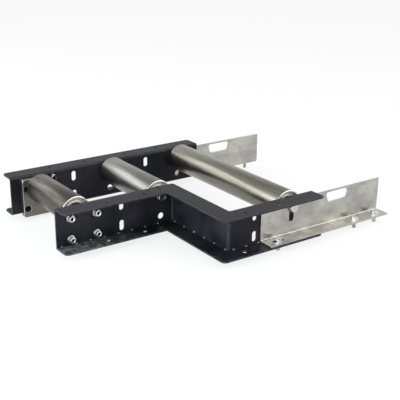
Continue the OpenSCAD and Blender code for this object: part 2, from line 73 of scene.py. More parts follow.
# Inner faces of the stepped web, beside the first two rollers and beside the third
NARROW_Y = -202.0
WIDE_Y = -388.0
SHEET = 3.0
ROLLER_XS = (51.0, 227.0, 403.0)
AXLE_Z = 60.0


class Body(Enum):
    """Bodies that the pieces ride on."""

    FRAME = "frame"
    ROLLER_1 = "roller_1"
    ROLLER_2 = "roller_2"
    ROLLER_3 = "roller_3"


class Slot(Enum):
    """Material slots that the finishes name."""

    POWDER_COAT = "powder_coat"
    PLATED_SHEET = "plated_sheet"
    PLATED_FASTENERS = "plated_fasteners"
    ROLLER_STEEL = "roller_steel"
    TURNED_STEEL = "turned_steel"
    BEARING_STEEL = "bearing_steel"
    BLACK_STEEL = "black_steel"
    PLATED_PRESSINGS = "plated_pressings"
    SEAL_RUBBER = "seal_rubber"


# Finishes


@dataclass(frozen=True)
class Grain:
    """Noise pattern of a finish.

    Attributes:
        stretch: Patterns per metre, along each axis or alike along all.
        detail: Number of finer layers.
        rough: Share of each finer layer.
        span: Strengths at which the pattern starts to show and shows fully.
    """

    stretch: Point | float
    detail: float = 3.0
    rough: float = 0.55
    span: Span = (0.3, 0.7)


class NodeSheet:
    """Node tree of a material or of the world, with short calls that add and join nodes."""

    def __init__(self, owner: bpy.types.Material | bpy.types.World) -> None:
        """Starts an empty tree.

        Args:
            owner: What the tree belongs to.
        """
        owner.use_nodes = True
        self.tree = owner.node_tree
        self.tree.nodes.clear()

    def add(self, kind: str, **values: object) -> bpy.types.Node:
        """Adds a node and sets its unlinked inputs.

        Args:
            kind: Type name of the node.
            **values: Input values, named as the sockets with underscores for spaces.

        Returns:
            The new node.
        """
        node = self.tree.nodes.new(kind)
        for key, value in values.items():
            node.inputs[key.replace("_", " ")].default_value = value
        return node

    def join(self, source: Socket, target: Socket) -> None:
        """Joins an output to an input."""
        self.tree.links.new(source, target)

    def combined(self, operation: str, first: Socket, second: Socket | float) -> Socket:
        """Works two values into one.

        Args:
            operation: Name of the math operation.
            first: First value.
            second: Second value, a socket or a number.

        Returns:
            The result, kept between 0 and 1.
        """
        work = self.add("ShaderNodeMath")
        work.operation = operation
        work.use_clamp = True
        self.join(first, work.inputs[0])
        if isinstance(second, Socket):
            self.join(second, work.inputs[1])
        else:
            work.inputs[1].default_value = second
        return work.outputs["Value"]

    def show(self, lit: Socket, seen: Socket, share: float, output: str) -> None:
        """Ends the tree with one shader that gives light and another that is seen.

        The camera, metal and glass see the second one. Matt surfaces are lit by the first.

        Args:
            lit: Shader that gives light.
            seen: Shader that is seen.
            share: How much of it is seen.
            output: Type name of the output node.
        """
        path = self.add("ShaderNodeLightPath")
        rays = path.outputs["Is Camera Ray"]
        for kind in ("Is Glossy Ray", "Is Transmission Ray"):
            rays = self.combined("ADD", rays, path.outputs[kind])
        mix = self.add("ShaderNodeMixShader")
        self.join(self.combined("MULTIPLY", rays, share), mix.inputs["Fac"])
        self.join(lit, mix.inputs[1])
        self.join(seen, mix.inputs[2])
        self.join(mix.outputs["Shader"], self.add(output).inputs["Surface"])


class FinishSheet(NodeSheet):
    """Node tree of one finish, which ends in the principled shader."""

    def __init__(self, name: str) -> None:
        """Starts a material with its shader and its output.

        Args:
            name: Name of the material.
        """
        self.material = bpy.data.materials.new(name)
        super().__init__(self.material)
        self.shader = self.add("ShaderNodeBsdfPrincipled")
        output = self.add("ShaderNodeOutputMaterial")
        self.join(self.shader.outputs["BSDF"], output.inputs["Surface"])
        self.relief: Socket | None = None

    def grain(self, grain: Grain, shift: Point = (0.0, 0.0, 0.0)) -> Socket:
        """Gives noise on Object coordinates.

        Args:
            grain: The pattern.
            shift: Where it starts, so that two finishes don't share it.

        Returns:
            The noise value, mostly between 0.3 and 0.7.
        """
        stretch = grain.stretch
        if isinstance(stretch, float):
            stretch = (stretch, stretch, stretch)
        place = self.add("ShaderNodeTexCoord")
        mapping = self.add("ShaderNodeMapping", Scale=stretch, Location=shift)
        self.join(place.outputs["Object"], mapping.inputs["Vector"])
        cloud = self.add(
            "ShaderNodeTexNoise", Scale=1.0, Detail=grain.detail, Roughness=grain.rough
        )
        self.join(mapping.outputs["Vector"], cloud.inputs["Vector"])
        return cloud.outputs["Fac"]

    def marked(self, name: str) -> Socket:
        """Gives a mark that a mesh carries on its faces.

        Args:
            name: Name of the mark.

        Returns:
            The mark's strength.
        """
        mark = self.add("ShaderNodeAttribute")
        mark.attribute_name = name
        return mark.outputs["Fac"]

    def ranged(self, source: Socket, span: Span, result: Span) -> Socket:
        """Spreads a value from one span to another.

        Args:
            source: The value.
            span: Values that become the two ends of the result.
            result: Results at those two values.

        Returns:
            The result, kept between its ends.
        """
        spread = self.add(
            "ShaderNodeMapRange",
            From_Min=span[0],
            From_Max=span[1],
            To_Min=result[0],
            To_Max=result[1],
        )
        self.join(source, spread.inputs["Value"])
        return spread.outputs["Result"]

    def tinted(self, factor: Socket, under: Colour | Socket, over: Colour | Socket) -> Socket:
        """Mixes two colours.

        Args:
            factor: 0 gives the lower colour and 1 the upper one.
            under: Lower colour, or a socket that gives it.
            over: Upper colour, or a socket that gives it.

        Returns:
            The mixed colour.
        """
        mix = self.add("ShaderNodeMix")
        mix.data_type = "RGBA"
        self.join(factor, mix.inputs[0])
        for socket, colour in ((mix.inputs[6], under), (mix.inputs[7], over)):
            if isinstance(colour, Socket):
                self.join(colour, socket)
            else:
                socket.default_value = (*colour, 1.0)
        return mix.outputs[2]

    def mottled(
        self, cloud: Socket, span: Span, under: Colour | Socket, over: Colour, share: float = 1.0
    ) -> Socket:
        """Lays a colour over another where noise is strong.

        Args:
            cloud: The noise.
            span: Strengths at which the upper colour starts to show and shows fully.
            under: Lower colour, or a socket that gives it.
            over: Upper colour.
            share: How much of the upper colour covers the lower one at most.

        Returns:
            The mottled colour.
        """
        return self.tinted(self.ranged(cloud, span, (0.0, share)), under, over)

    def surface(self, colour: Socket, cloud: Socket, span: Span, matt: Span) -> None:
        """Sets the base colour and how matt the finish is.

        Args:
            colour: The base colour.
            cloud: Noise that the roughness follows.
            span: Strengths of the noise for the two ends of the roughness.
            matt: Roughness where the noise is weak and where it is strong.
        """
        self.join(colour, self.shader.inputs["Base Color"])
        self.join(self.ranged(cloud, span, matt), self.shader.inputs["Roughness"])

    def bumped(self, height: Socket, relief: Span) -> None:
        """Adds relief, on top of any that is there.

        Args:
            height: The relief's shape, from 0 to 1.
            relief: Its height in millimetres, and the share of it that shows.
        """
        bump = self.add("ShaderNodeBump", Distance=relief[0] * MM, Strength=relief[1])
        self.join(height, bump.inputs["Height"])
        if self.relief is not None:
            self.join(self.relief, bump.inputs["Normal"])
        self.relief = bump.outputs["Normal"]

    def done(self, **values: object) -> bpy.types.Material:
        """Sets the shader's uniform values and gives the material.

        Args:
            **values: Values of the shader's sockets, named with underscores for spaces.

        Returns:
            The finished material.
        """
        for key, value in values.items():
            self.shader.inputs[key.replace("_", " ")].default_value = value
        if self.relief is not None:
            self.join(self.relief, self.shader.inputs["Normal"])
        return self.material


@dataclass(frozen=True)
class PowderCoat:
    """Satin anthracite powder coat: orange-peel skin, faint clouds, dust, worn eased edges that
    are also lightened as a painted highlight, and a fainter painted highlight along the folds.

    Attributes:
        drifts: Strengths of the clouds between which dust gathers.
        smudged_to: Distance from the model's origin in metres where handling smudges end, or
            None where there are none.
        fade: Length in metres over which the smudges fade out.
    """

    name: str = "anthracite_powder"
    slot: Slot = Slot.POWDER_COAT
    deep: Colour = (0.0068, 0.0074, 0.0104)
    pale: Colour = (0.0230, 0.0222, 0.0290)
    # Colour of eased edges, as wear and as a painted highlight; folds take a fainter share of it
    # as a painted highlight
    edge: Colour = (0.135, 0.132, 0.148)
    dust: Colour = (0.060, 0.061, 0.066)
    smudge: Colour = (0.16, 0.16, 0.165)
    clouds: Grain = Grain(14.0, detail=4.0, span=(0.35, 0.68))
    speckle: Grain = Grain(900.0, detail=2.0, rough=0.7, span=(0.56, 0.72))
    wear: Grain = Grain(160.0, span=(0.35, 0.62))
    handling: Grain = Grain(110.0, detail=4.0, rough=0.7, span=(0.44, 0.66))
    peel: Grain = Grain(620.0, detail=2.0)
    dusting: float = 0.55
    drifts: Span = (0.42, 0.62)
    least_dusty: float = 0.15
    least_worn: float = 0.25
    smudged_to: float | None = None
    fade: float = 0.10
    smudging: Span = (0.12, 0.9)
    peel_relief: Span = (0.055, 0.55)
    matt_span: Span = (0.3, 0.7)
    matt: Span = (0.33, 0.48)
    shine: float = 0.095

    def material(self) -> bpy.types.Material:
        """Builds the material.

        Returns:
            The material.
        """
        sheet = FinishSheet(self.name)
        clouds = sheet.grain(self.clouds)
        coat = sheet.mottled(clouds, self.clouds.span, self.deep, self.pale)
        dusty = sheet.combined(
            "MULTIPLY",
            sheet.ranged(sheet.grain(self.speckle), self.speckle.span, (0.0, self.dusting)),
            sheet.ranged(clouds, self.drifts, (self.least_dusty, 1.0)),
        )
        coat = sheet.tinted(dusty, coat, self.dust)
        if self.smudged_to is not None:
            coat = sheet.tinted(self.smudges(sheet, self.smudged_to), coat, self.smudge)
        rubbed = sheet.ranged(sheet.grain(self.wear), self.wear.span, (self.least_worn, 1.0))
        # Lightens eased edges as wear and a painted highlight, and folds as a painted highlight
        worn = sheet.combined("MULTIPLY", sheet.marked(EDGE_WEAR_AND_HIGHLIGHT), rubbed)
        sheet.surface(sheet.tinted(worn, coat, self.edge), clouds, self.matt_span, self.matt)
        sheet.bumped(sheet.grain(self.peel), self.peel_relief)
        return sheet.done(Specular_IOR_Level=self.shine)

    def smudges(self, sheet: FinishSheet, end: float) -> Socket:
        """Gives the handling smudges, which fade out along the rail.

        Args:
            sheet: The material under work.
            end: Where the last of them ends, in metres.

        Returns:
            Their share of the colour.
        """
        place = sheet.add("ShaderNodeTexCoord")
        split = sheet.add("ShaderNodeSeparateXYZ")
        sheet.join(place.outputs["Object"], split.inputs["Vector"])
        reach = sheet.ranged(split.outputs["X"], (end - self.fade, end), (1.0, 0.0))
        marks = sheet.ranged(sheet.grain(self.handling), self.handling.span, self.smudging)
        return sheet.combined("MULTIPLY", reach, marks)


@dataclass(frozen=True)
class RolledZinc:
    """Zinc-plated rolled sheet: warm and cool clouds, stained patches, rolling lines, dimples, a
    painted highlight on eased edges and folds, and painted shade in marked recesses.
    """

    name: str = "bracket_zinc"
    slot: Slot = Slot.PLATED_SHEET
    warm: Colour = (0.50, 0.485, 0.44)
    cool: Colour = (0.34, 0.34, 0.327)
    stain: Colour = (0.27, 0.262, 0.24)
    # Painted highlight on eased edges, fainter on folds
    edge: Colour = (0.84, 0.82, 0.77)
    # Painted shade in marked recesses
    recess: Colour = (0.008, 0.008, 0.008)
    clouds: Grain = Grain((17.0, 17.0, 26.0), detail=4.0, span=(0.38, 0.62))
    patches: Grain = Grain((52.0, 52.0, 60.0), span=(0.54, 0.74))
    lines: Grain = Grain((9.0, 420.0, 420.0), rough=0.65, span=(0.5, 0.8))
    dimples: Grain = Grain(300.0, detail=2.0)
    cloud_shift: Point = (0.0, 0.0, 0.0)
    patch_shift: Point = (3.1, 7.7, 1.3)
    patch_share: float = 0.55
    line_share: float = 0.30
    line_relief: Span = (0.012, 0.5)
    dimple_relief: Span = (0.02, 0.4)
    matt_span: Span = (0.35, 0.65)
    matt: Span = (0.30, 0.44)

    def material(self) -> bpy.types.Material:
        """Builds the material.

        Returns:
            The material.
        """
        sheet = FinishSheet(self.name)
        clouds = sheet.grain(self.clouds, self.cloud_shift)
        patches = sheet.grain(self.patches, self.patch_shift)
        lines = sheet.grain(self.lines)
        zinc = sheet.mottled(clouds, self.clouds.span, self.warm, self.cool)
        zinc = sheet.mottled(patches, self.patches.span, zinc, self.stain, self.patch_share)
        zinc = sheet.mottled(lines, self.lines.span, zinc, self.stain, self.line_share)
        # Paints the highlight on edges and folds and the shade in recesses
        for mark, colour in ((EDGE_WEAR_AND_HIGHLIGHT, self.edge), (SHADED, self.recess)):
            zinc = sheet.tinted(sheet.marked(mark), zinc, colour)
        sheet.surface(zinc, patches, self.matt_span, self.matt)
        sheet.bumped(lines, self.line_relief)
        sheet.bumped(sheet.grain(self.dimples), self.dimple_relief)
        return sheet.done(Metallic=1.0)


@dataclass(frozen=True)
class DrawnTube:
    """Drawn steel tube: broad bands, browned streaks and spots along the roller, a bright rim of
    bare cut steel that is lightened further as a painted highlight.
    """

    name: str
    shift: Point
    slot: Slot = Slot.ROLLER_STEEL
    light: Colour = (0.300, 0.286, 0.250)
    brown: Colour = (0.105, 0.088, 0.065)
    green: Colour = (0.222, 0.219, 0.188)
    # Bare cut steel at the ends, lightened further as a painted highlight
    edge: Colour = (0.90, 0.88, 0.80)
    bands: Grain = Grain((46.0, 3.0, 46.0), detail=2.0, span=(0.38, 0.62))
    streaks: Grain = Grain((260.0, 9.0, 260.0), detail=4.0, rough=0.65, span=(0.46, 0.74))
    spots: Grain = Grain(230.0, detail=4.0, rough=0.75, span=(0.54, 0.76))
    clouds: Grain = Grain((55.0, 30.0, 55.0), span=(0.35, 0.68))
    worn: float = 0.75
    streak_relief: Span = (0.006, 0.4)
    matt: Span = (0.285, 0.335)

    def material(self) -> bpy.types.Material:
        """Builds the material.

        Returns:
            The material.
        """
        sheet = FinishSheet(self.name)
        bands = sheet.grain(self.bands, self.shift)
        streaks = sheet.grain(self.streaks, self.shift)
        spots = sheet.grain(self.spots, self.shift)
        clouds = sheet.grain(self.clouds, self.shift)
        steel = sheet.mottled(bands, self.bands.span, self.light, self.green)
        steel = sheet.mottled(streaks, self.streaks.span, steel, self.brown, self.worn)
        steel = sheet.mottled(spots, self.spots.span, steel, self.brown, self.worn)
        # Lightens the ends as bare steel and as a painted highlight
        steel = sheet.tinted(sheet.marked(EDGE_WEAR_AND_HIGHLIGHT), steel, self.edge)
        sheet.surface(steel, clouds, self.clouds.span, self.matt)
        sheet.bumped(streaks, self.streak_relief)
        return sheet.done(Metallic=1.0)


@dataclass(frozen=True)
class WorkedSteel:
    """Bare or plated steel of small pieces: a base colour, a stain, a grain and painted shade in
    recesses.
    """

    name: str
    slot: Slot
    light: Colour
    stain: Colour
    matt: Span
    # Painted shade in marked recesses
    recess: Colour = (0.012, 0.012, 0.012)
    clouds: Grain = Grain(130.0, span=(0.4, 0.7))
    grain: Grain = Grain(500.0, rough=0.65)
    stained: float = 0.8
    matt_span: Span = (0.35, 0.7)
    metal: float = 1.0
    shine: float = 0.5
    relief: Span = (0.01, 0.5)

    def material(self) -> bpy.types.Material:
        """Builds the material.

        Returns:
            The material.
        """
        sheet = FinishSheet(self.name)
        clouds, grain = sheet.grain(self.clouds), sheet.grain(self.grain)
        steel = sheet.mottled(clouds, self.clouds.span, self.light, self.stain, self.stained)
        # Paints shade into the marked recesses
        steel = sheet.tinted(sheet.marked(SHADED), steel, self.recess)
        sheet.surface(steel, grain, self.matt_span, self.matt)
        sheet.bumped(grain, self.relief)
        return sheet.done(Metallic=self.metal, Specular_IOR_Level=self.shine)


@dataclass(frozen=True)
class SealRubber:
    """Matt black rubber of the bearing seals."""

    name: str = "moulded_rubber"
    slot: Slot = Slot.SEAL_RUBBER
    dark: Colour = (0.012, 0.012, 0.012)
    dusty: Colour = (0.04, 0.038, 0.034)
    dust: Grain = Grain(400.0, span=(0.4, 0.7))
    matt_span: Span = (0.3, 0.7)
    matt: Span = (0.55, 0.75)
    shine: float = 0.4

    def material(self) -> bpy.types.Material:
        """Builds the material.

        Returns:
            The material.
        """
        sheet = FinishSheet(self.name)
        dust = sheet.grain(self.dust)
        rubber = sheet.mottled(dust, self.dust.span, self.dark, self.dusty)
        sheet.surface(rubber, dust, self.matt_span, self.matt)
        return sheet.done(Specular_IOR_Level=self.shine)


Finish = PowderCoat | RolledZinc | DrawnTube | WorkedSteel | SealRubber

POWDER = PowderCoat()
SMUDGED_POWDER = PowderCoat(
    name="smudged_powder", dust=(0.14, 0.14, 0.15), dusting=0.8, smudged_to=0.02
)
# Same coat as the rails, painted far paler on the weld beads as a painted highlight on the lumps
BEAD_HIGHLIGHT_POWDER = PowderCoat(
    name="bead_highlight_powder", deep=(0.10, 0.10, 0.105), pale=(0.26, 0.26, 0.27), matt=(0.13, 0.28)
)
BRACKET_ZINC = RolledZinc()
# Far darker than the brackets' zinc: a duller plating, and painted shade beside the first roller
PLATE_ZINC = RolledZinc(
    name="plate_zinc",
    warm=(0.205, 0.190, 0.160),
    cool=(0.165, 0.158, 0.140),
    stain=(0.110, 0.100, 0.083),
    lines=Grain((60.0, 60.0, 500.0), rough=0.65, span=(0.5, 0.8)),
    cloud_shift=(5.0, 2.0, 8.0),
    matt=(0.34, 0.48),
)
FASTENER_ZINC = WorkedSteel(
    name="fastener_zinc",
    slot=Slot.PLATED_FASTENERS,
    light=(0.62, 0.62, 0.60),
    stain=(0.38, 0.37, 0.35),
    matt=(0.15, 0.27),
)
# Zinc of the axle washers, darkened as painted shade under the flanges
SHADE_DARKENED_ZINC = WorkedSteel(
    name="shade_darkened_zinc",
    slot=Slot.PLATED_FASTENERS,
    light=(0.30, 0.295, 0.275),
    stain=(0.15, 0.145, 0.130),
    matt=(0.15, 0.27),
)
BLACK_OXIDE = WorkedSteel(
    name="black_oxide",
    slot=Slot.BLACK_STEEL,
    light=(0.0055, 0.0055, 0.0060),
    stain=(0.0120, 0.0115, 0.0110),
    recess=(0.004, 0.004, 0.004),
    matt=(0.42, 0.54),
    metal=0.0,
    shine=0.12,
)
TURNED_STEEL = WorkedSteel(
    name="turned_axle",
    slot=Slot.TURNED_STEEL,
    light=(0.50, 0.50, 0.49),
    stain=(0.33, 0.32, 0.30),
    grain=Grain((60.0, 1500.0, 60.0), rough=0.65),
    matt=(0.285, 0.405),
)
BEARING_STEEL = WorkedSteel(
    name="polished_bearing",
    slot=Slot.BEARING_STEEL,
    light=(0.66, 0.66, 0.67),
    stain=(0.55, 0.55, 0.55),
    matt=(0.12, 0.24),
)
# Pale zinc plating, made half diffuse so that the cups stay bright beside the dark web: painted
# light for a bright reflection
CUP_ZINC = WorkedSteel(
    name="cup_zinc",
    slot=Slot.PLATED_PRESSINGS,
    light=(0.78, 0.765, 0.70),
    stain=(0.60, 0.58, 0.52),
    matt=(0.30, 0.42),
    metal=0.45,
    relief=(0.02, 0.5),
)
SEAL = SealRubber()
FIRST_TUBE = DrawnTube(
    name="drawn_tube_first",
    shift=(1.0, 4.0, 2.0),
    light=(0.138, 0.127, 0.114),
    brown=(0.030, 0.025, 0.020),
    green=(0.092, 0.084, 0.074),
    worn=0.95,
    matt=(0.31, 0.41),
)
SECOND_TUBE = DrawnTube(
    name="drawn_tube_second",
    shift=(7.0, 1.0, 5.0),
    light=(0.265, 0.267, 0.253),
    brown=(0.115, 0.108, 0.094),
    green=(0.200, 0.205, 0.194),
)
THIRD_TUBE = DrawnTube(name="drawn_tube_third", shift=(3.0, 9.0, 6.0))


@functools.lru_cache(maxsize=None)
def material_of(finish: Finish) -> bpy.types.Material:
    """Builds a finish once and gives its material each time."""
    return finish.material()


# Mesh work


def seat(x: float, y: float, z: float, turn: float = 0.0, flip: bool = False) -> Matrix:
    """Gives the place of a piece that was shaped about Z.

    Args:
        x: Distance from the saw end.
        y: Distance from the inner face of the straight rail's web.
        z: Height above the underside of the rails.
        turn: Turn about X in degrees, which tips Z towards -Y.
        flip: Whether the piece is mirrored along its own Z.

    Returns:
        The matrix, in millimetres.
    """
    place = Matrix.Translation((x, y, z)) @ Matrix.Rotation(math.radians(turn), 4, "X")
    return place @ Matrix.Diagonal((1.0, 1.0, -1.0, 1.0)) if flip else place


class Bench:
    """A mesh under work, in millimetres, that bmesh operators shape about Z."""

    def __init__(self) -> None:
        """Starts an empty mesh that can carry the marks of edges lightened as wear and painted
        highlight, and of recesses darkened as painted shade.
        """
        self.mesh = bmesh.new()
        self.eased = self.mesh.faces.layers.float.new(EDGE_WEAR_AND_HIGHLIGHT)
        self.shaded = self.mesh.faces.layers.float.new(SHADED)

    def weld(self, reach: float = 1e-4) -> None:
        """Merges points that lie on each other."""
        bmesh.ops.remove_doubles(self.mesh, verts=self.mesh.verts[:], dist=reach)

    def moved(self, matrix: Matrix, first: int = 0) -> None:
        """Moves all points, or those from a number on."""
        bmesh.ops.transform(self.mesh, matrix=matrix, verts=self.mesh.verts[first:])

    def lathe(self, outline: Outline, segments: int, ring: bool = False) -> None:
        """Spins an outline about Z.

        Args:
            outline: Points as radius and height.
            segments: Number of faces round the axis.
            ring: Whether the outline closes on itself.
        """
        points = [self.mesh.verts.new((radius, 0.0, height)) for radius, height in outline]
        edges = [self.mesh.edges.new(pair) for pair in zip(points, points[1:])]
        if ring:
            edges.append(self.mesh.edges.new((points[-1], points[0])))
        bmesh.ops.spin(
            self.mesh,
            geom=points + edges,
            cent=(0.0, 0.0, 0.0),
            axis=(0.0, 0.0, 1.0),
            angle=2.0 * math.pi,
            steps=segments,
            use_merge=True,
        )
        self.weld()

    def thread(self, crest: float, root: float, pitch: float, top: float, end: float) -> None:
        """Winds a ridge round the axis, for a core that is there.

        Args:
            crest: Radius of the ridge.
            root: Radius of the core.
            pitch: Rise of one turn.
            top: Height at which the thread starts.
            end: Height of its lower end.
        """
        steps, run_out, sunk = 20, 1.1, 0.12
        turns = (top - end) / pitch - run_out
        radii = (root - sunk, crest, crest, root - sunk)
        rise_shares = (0.06, 0.46, 0.58, 0.98)
        points = [
            self.mesh.verts.new((radius, 0.0, end + pitch * share))
            for radius, share in zip(radii, rise_shares)
        ]
        section = self.mesh.faces.new(points)
        bmesh.ops.spin(
            self.mesh,
            geom=points + list(section.edges) + [section],
            cent=(0.0, 0.0, 0.0),
            axis=(0.0, 0.0, 1.0),
            dvec=(0.0, 0.0, pitch / steps),
            angle=2.0 * math.pi * turns,
            steps=round(steps * turns),
            use_merge=False,
        )

    def cap(self, height: float) -> Face:
        """Closes the open ring at a height with one face.

        Args:
            height: Height of the ring.

        Returns:
            The new face.
        """
        rim = [
            edge
            for edge in self.mesh.edges
            if len(edge.link_faces) == 1
            and all(abs(vert.co.z - height) < LEVEL for vert in edge.verts)
        ]
        return bmesh.ops.contextual_create(self.mesh, geom=rim)["faces"][0]

    def step_in(self, face: Face, height: float, reach: float, six_sided: bool = False) -> None:
        """Insets a face and draws it to another size and height.

        Args:
            face: Face about the axis, which is the inner one afterwards.
            height: Its new height.
            reach: Its new radius, or half the width across the flats.
            six_sided: Whether it becomes a hexagon, and not round.
        """
        bmesh.ops.inset_individual(
            self.mesh, faces=[face], thickness=0.02, depth=0.0, use_even_offset=False
        )
        for vert in face.verts:
            angle = math.atan2(vert.co.y, vert.co.x)
            radius = reach / math.cos(angle % SIXTH - SIXTH / 2.0) if six_sided else reach
            vert.co = Vector((radius * math.cos(angle), radius * math.sin(angle), height))

    def pulled(self, face: Face, rise: float) -> tuple[list[bmesh.types.BMVert], Face]:
        """Extrudes a face along Z.

        Args:
            face: The face.
            rise: How far up it goes.

        Returns:
            The points of the new face, and the face.
        """
        made = bmesh.ops.extrude_face_region(self.mesh, geom=[face])["geom"]
        ring = [item for item in made if isinstance(item, bmesh.types.BMVert)]
        bmesh.ops.translate(self.mesh, verts=ring, vec=(0.0, 0.0, rise))
        return ring, next(item for item in made if isinstance(item, Face))

    def sink(self, face: Face, depth: float, point: float) -> None:
        """Sinks a face straight down and gives the hole a pointed floor, all marked for painted
        shade.

        Args:
            face: Face to sink.
            depth: Depth of the straight wall.
            point: Further depth of the drilled point.
        """
        ring, floor = self.pulled(face, -depth)
        bmesh.ops.delete(self.mesh, geom=[face], context="FACES_ONLY")
        for vert in ring:
            for wall in vert.link_faces:
                wall[self.shaded] = 1.0
        bmesh.ops.poke(self.mesh, faces=[floor], offset=-point)

    def hexagon(self, flats: float, ease: float = 0.35, cuts: int = 6) -> Face:
        """Draws a hexagon with eased corners, one of them towards X.

        Args:
            flats: Width across the flats.
            ease: How much each corner is eased.
            cuts: Number of points added along each side.

        Returns:
            The face.
        """
        corner_r = flats / 2.0 / math.cos(SIXTH / 2.0)
        bmesh.ops.create_circle(self.mesh, cap_ends=True, segments=6, radius=corner_r)
        self.moved(Matrix.Rotation(SIXTH / 2.0, 4, "Z"))
        bmesh.ops.bevel(
            self.mesh,
            geom=self.mesh.verts[:],
            offset=ease,
            segments=2,
            profile=0.5,
            affect="VERTICES",
            material=-1,
        )
        sides = [edge for edge in self.mesh.edges if edge.calc_length() > 3.0 * ease]
        bmesh.ops.subdivide_edges(self.mesh, edges=sides, cuts=cuts)
        return max(self.mesh.faces, key=lambda face: face.calc_area())

    def cone_down(self, face: Face, flat_r: float, level: float, way: float) -> None:
        """Lowers the points of a face outside a circle, as a cone that trims a hexagon does.

        Args:
            face: Face whose points are moved.
            flat_r: Radius inside which nothing is trimmed.
            level: Height of the flat.
            way: 1 where the cone opens downwards, -1 where it opens upwards.
        """
        for vert in face.verts:
            reach = max(0.0, math.hypot(vert.co.x, vert.co.y) - flat_r)
            vert.co.z = level - way * math.tan(SIXTH / 2.0) * reach

    def stamp(self, pattern: "Bench", places: Iterable[Matrix]) -> "Bench":
        """Adds a copy of a pattern at each place.

        Args:
            pattern: The piece to repeat.
            places: Where each copy goes.

        Returns:
            This bench.
        """
        master = bpy.data.meshes.new("pattern")
        pattern.mesh.to_mesh(master)
        for place in places:
            before = len(self.mesh.verts)
            self.mesh.from_mesh(master)
            self.mesh.verts.ensure_lookup_table()
            self.moved(place, before)
        bpy.data.meshes.remove(master)
        return self

    def eased_copy(self, node: str, width: float) -> "Bench":
        """Takes the shape of a node of the model, rounds its sharp edges and marks them for wear
        and a painted highlight, and marks its folds for a fainter painted highlight.

        Args:
            node: Name of the node.
            width: Width of the rounding.

        Returns:
            This bench.
        """
        seam, flat, sharp_from = 0.002, math.radians(1.0), math.radians(40.0)
        largest_strip, slanted, fold_share = 60.0, 0.3, 0.2
        self.mesh.from_mesh(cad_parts[node].data)
        self.moved(Matrix.Translation(ORIGIN) @ Matrix.Scale(1.0 / MM, 4))
        self.weld(seam)
        bmesh.ops.dissolve_limit(
            self.mesh, angle_limit=flat, verts=self.mesh.verts[:], edges=self.mesh.edges[:]
        )
        sharp = [
            edge
            for edge in self.mesh.edges
            if len(edge.link_faces) == 2 and edge.calc_face_angle() > sharp_from
        ]
        made = bmesh.ops.bevel(
            self.mesh,
            geom=sharp,
            offset=width,
            offset_type="OFFSET",
            segments=2,
            profile=0.5,
            affect="EDGES",
            clamp_overlap=False,
            material=-1,
        )
        for face in made["faces"]:
            if face.is_valid and face.calc_area() < largest_strip:
                face[self.eased] = 1.0
        # Fold facets take a share of the mark: a painted highlight along the fold
        for face in self.mesh.faces:
            face.normal_update()
            if face[self.eased] < 1.0 and sorted(map(abs, face.normal))[1] > slanted:
                face[self.eased] = fold_share
        return self

    def finish(
        self,
        name: str,
        node: str,
        finish: Finish,
        body: Body = Body.FRAME,
        limit: float = 32.0,
        flat_faces: bool = False,
    ) -> None:
        """Turns the work into a piece that stands for a node and rides on its body.

        Args:
            name: Name of the piece.
            node: Node of the model that it stands for.
            finish: Its finish.
            body: Body that it moves with.
            limit: Angle in degrees above which an edge stays sharp.
            flat_faces: Whether large flat faces keep their own shading beside rounded edges.
        """
        self.weld()
        bmesh.ops.recalc_face_normals(self.mesh, faces=self.mesh.faces[:])
        for face in self.mesh.faces:
            face.smooth = True
        open_edges = [edge for edge in self.mesh.edges if len(edge.link_faces) != 2]
        for edge in self.mesh.edges:
            edge.smooth = len(edge.link_faces) == 2 and (
                edge.calc_face_angle() < math.radians(limit)
            )
        self.moved(Matrix.Scale(MM, 4) @ Matrix.Translation(-ORIGIN))
        LOG.info("%s: %d faces, %d open edges", name, len(self.mesh.faces), len(open_edges))
        data = bpy.data.meshes.new(name)
        self.mesh.to_mesh(data)
        self.mesh.free()
        piece = bpy.data.objects.new(name, data)
        bpy.context.scene.collection.objects.link(piece)
        data.materials.append(material_of(finish))
        if flat_faces:
            shading = piece.modifiers.new("flat_faces", "WEIGHTED_NORMAL")
            shading.keep_sharp = True
        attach(piece, body.value)
        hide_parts(node)


def dress(node: str, finish: Finish) -> None:
    """Gives a node of the model its material.

    Args:
        node: Name of the node, whose shape stays as it is.
        finish: Its finish.
    """
    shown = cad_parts[node]
    material = material_of(finish)
    if not shown.material_slots:
        shown.data.materials.append(material)
    for place in shown.material_slots:
        place.material = material
    LOG.info("%s: dressed in %s", node, material.name)


# Fasteners


@dataclass(frozen=True)
class Washer:
    """Flat washer with eased rims."""

    bore: float = 8.2
    outer: float = 16.0
    thickness: float = 1.6
    ease: float = 0.3
    rounded: float = 0.09
    segments: int = 48

    def pattern(self) -> Bench:
        """Shapes the washer from its foot up.

        Returns:
            The washer.
        """
        bench = Bench()
        inner, outer, top, ease = self.bore / 2.0, self.outer / 2.0, self.thickness, self.ease
        bench.lathe(
            [
                (inner + ease, 0.0),
                (outer - ease, 0.0),
                (outer - self.rounded, self.rounded),
                (outer, ease),
                (outer, top - ease),
                (outer - self.rounded, top - self.rounded),
                (outer - ease, top),
                (inner + ease, top),
                (inner, top - ease),
                (inner, ease),
            ],
            self.segments,
            ring=True,
        )
        return bench


